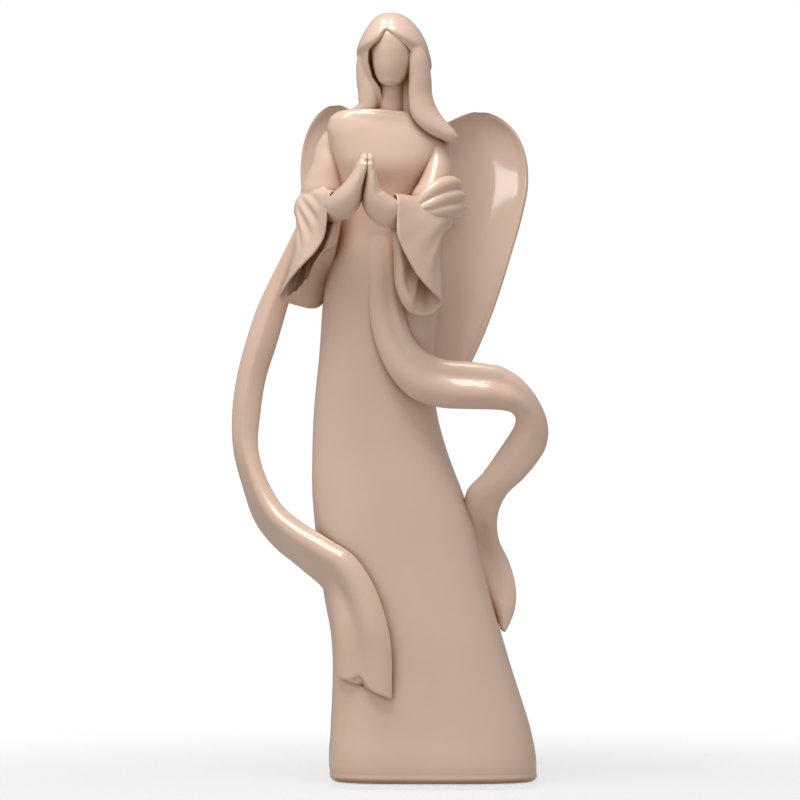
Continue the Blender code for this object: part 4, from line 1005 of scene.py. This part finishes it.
def felt_material():
    """Pressed brown felt."""
    material, shader, nodes, links = nodes_of("pressed_felt")
    fibre = noise(nodes, links, 2600, 6.0, 0.7)
    tint = ramp(nodes, links, fibre.outputs["Fac"], FELT_TINTS)
    links.new(tint.outputs["Color"], shader.inputs["Base Color"])
    links.new(spread(nodes, links, fibre.outputs["Fac"], 0.86, 1.0), shader.inputs["Roughness"])
    bump(nodes, links, shader, fibre.outputs["Fac"], 0.7, 0.0003)
    return material


def steel_material():
    """Drawn steel wire."""
    material, shader, nodes, links = nodes_of("drawn_steel")
    grain = noise(nodes, links, 3000, 3.0)
    tint = ramp(nodes, links, grain.outputs["Fac"], STEEL_TINTS)
    links.new(tint.outputs["Color"], shader.inputs["Base Color"])
    links.new(spread(nodes, links, grain.outputs["Fac"], 0.25, 0.45), shader.inputs["Roughness"])
    bump(nodes, links, shader, grain.outputs["Fac"], 0.2, 0.00005)
    shader.inputs["Metallic"].default_value = 1.0
    return material


# --- stage -----------------------------------------------------------------------------------------
def floor_material():
    """Pale matt floor that fades out round the figure into the white surroundings."""
    material, shader, nodes, links = nodes_of("pale_floor")
    shader.inputs["Base Color"].default_value = (0.86, 0.855, 0.85, 1.0)
    shader.inputs["Roughness"].default_value = 0.9
    shader.inputs["Specular IOR Level"].default_value = 0.1
    place = nodes.new("ShaderNodeTexCoord")
    reach = nodes.new("ShaderNodeVectorMath")
    reach.operation = "LENGTH"
    links.new(place.outputs["Object"], reach.inputs[0])
    fade = nodes.new("ShaderNodeMapRange")
    fade.interpolation_type = "SMOOTHSTEP"
    fade.inputs["From Min"].default_value = 0.10
    fade.inputs["From Max"].default_value = 0.34
    fade.inputs["To Min"].default_value = FLOOR_OPACITY
    fade.inputs["To Max"].default_value = 0.0
    links.new(reach.outputs["Value"], fade.inputs["Value"])
    links.new(fade.outputs["Result"], shader.inputs["Alpha"])
    return material


def make_floor():
    """A disc for the figure to stand on."""
    angle = circle(96)
    across, along = FLOOR_RADIUS * np.cos(angle), FLOOR_RADIUS * np.sin(angle)
    rings = [np.stack([across, along, np.full(96, height)], axis=1) for height in (-2.0, -0.05)]
    floor = skin("floor", rings)
    floor.data.materials.append(floor_material())


def towards(turn, rise):
    """The direction out from the figure, turned to its left from straight ahead and raised, in degrees."""
    a, e = math.radians(turn), math.radians(rise)
    return Vector((math.sin(a) * math.cos(e), -math.cos(a) * math.cos(e), math.sin(e)))


def add_light(name, turn, rise, distance, size, power, colour, shows):
    """A soft rectangular light that looks at the figure."""
    data = bpy.data.lights.new(name, "AREA")
    data.shape = "RECTANGLE"
    data.size, data.size_y = size
    data.energy = power
    data.color = colour
    light = bpy.data.objects.new(name, data)
    light.visible_glossy = shows
    bpy.context.scene.collection.objects.link(light)
    aim = towards(turn, rise)
    light.location = VIEW_TARGET + aim * distance
    light.rotation_euler = (-aim).to_track_quat("-Z", "Y").to_euler()
    return light


def make_lights(castings):
    """A key overhead, two large lights that leave no highlight, and a window on a few castings."""
    lit = bpy.data.collections.new("seen_from_the_window")
    for name, piece in castings.items():
        if name in WINDOW_SIDE:
            lit.objects.link(piece)
    lights = {name: add_light(name, *settings) for name, settings in LIGHTS.items()}
    lights["window"].light_linking.receiver_collection = lit


def make_surroundings():
    """White surroundings to the camera, and a dimmer warm light all round the figure."""
    world = bpy.data.worlds.new("surroundings")
    bpy.context.scene.world = world
    world.use_nodes = True
    nodes, links = world.node_tree.nodes, world.node_tree.links
    ambient = nodes["Background"]
    ambient.inputs["Color"].default_value = (1.0, 0.95, 0.9, 1.0)
    ambient.inputs["Strength"].default_value = 0.36
    seen = nodes.new("ShaderNodeBackground")
    seen.inputs["Color"].default_value = (1.0, 1.0, 1.0, 1.0)
    rays = nodes.new("ShaderNodeLightPath")
    mix = nodes.new("ShaderNodeMixShader")
    links.new(rays.outputs["Is Camera Ray"], mix.inputs["Fac"])
    links.new(ambient.outputs["Background"], mix.inputs[1])
    links.new(seen.outputs["Background"], mix.inputs[2])
    links.new(mix.outputs["Shader"], nodes["World Output"].inputs["Surface"])


def make_camera():
    """The camera, a little to the figure's left and level with its middle."""
    data = bpy.data.cameras.new("camera")
    data.lens, data.sensor_width = LENS, SENSOR
    camera = bpy.data.objects.new("camera", data)
    bpy.context.scene.collection.objects.link(camera)
    aim = towards(math.degrees(VIEW_TURN), 0)
    camera.location = VIEW_TARGET + aim * VIEW_DISTANCE - Vector((0, 0, CAMERA_DROP))
    camera.rotation_euler = (VIEW_TARGET - camera.location).to_track_quat("-Z", "Y").to_euler()
    bpy.context.scene.camera = camera


def make_castings():
    """Every casting, by the CAD node that it stands in for."""
    return {
        "hair": make_hair(),
        "gown": make_gown(),
        "head": make_head(),
        "right_sleeve": make_sleeve(
            "right_sleeve_casting",
            RIGHT_ARM,
            RIGHT_ELBOW,
            RIGHT_RIM,
            RIGHT_DRAPE,
            RIGHT_BACK_WALL,
            RIGHT_PLEATS,
        ),
        "left_sleeve": make_sleeve(
            "left_sleeve_casting",
            LEFT_ARM,
            LEFT_ELBOW,
            LEFT_RIM,
            LEFT_DRAPE,
            LEFT_BACK_WALL,
            LEFT_PLEATS,
        ),
        "right_hand": make_hand("right_hand_casting", -1, RIGHT_HAND),
        "left_hand": make_hand("left_hand_casting", 1, LEFT_HAND),
        "right_wing": make_wing("right_wing_casting", -1, RIGHT_WING_LIFT, RIGHT_WING_SHIFT),
        "left_wing": make_wing("left_wing_casting", 1, -LEFT_WING_DROP, LEFT_WING_SHIFT),
        "right_sash": make_right_sash(),
        "left_sash": make_left_sash(),
        "left_elbow_fold": make_elbow_fold(),
    }


def main():
    """Builds the castings, gives every piece its finish, and sets the stage."""
    resin, felt, steel = resin_material(), felt_material(), steel_material()
    castings = make_castings()
    for node, piece in castings.items():
        piece.data.materials.clear()
        piece.data.materials.append(resin)
        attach(piece, BODY)
        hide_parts(node)
    for name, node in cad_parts.items():
        if name in castings:
            continue
        finish, slot = resin, RESIN_SLOT
        if name == "felt_pad":
            finish, slot = felt, FELT_SLOT
        elif name.endswith("dowel"):
            finish, slot = steel, STEEL_SLOT
        node.data.materials.clear()
        node.data.materials.append(finish)
    make_floor()
    make_lights(castings)
    make_surroundings()
    make_camera()
    bpy.context.scene.view_settings.view_transform = "Standard"


main()
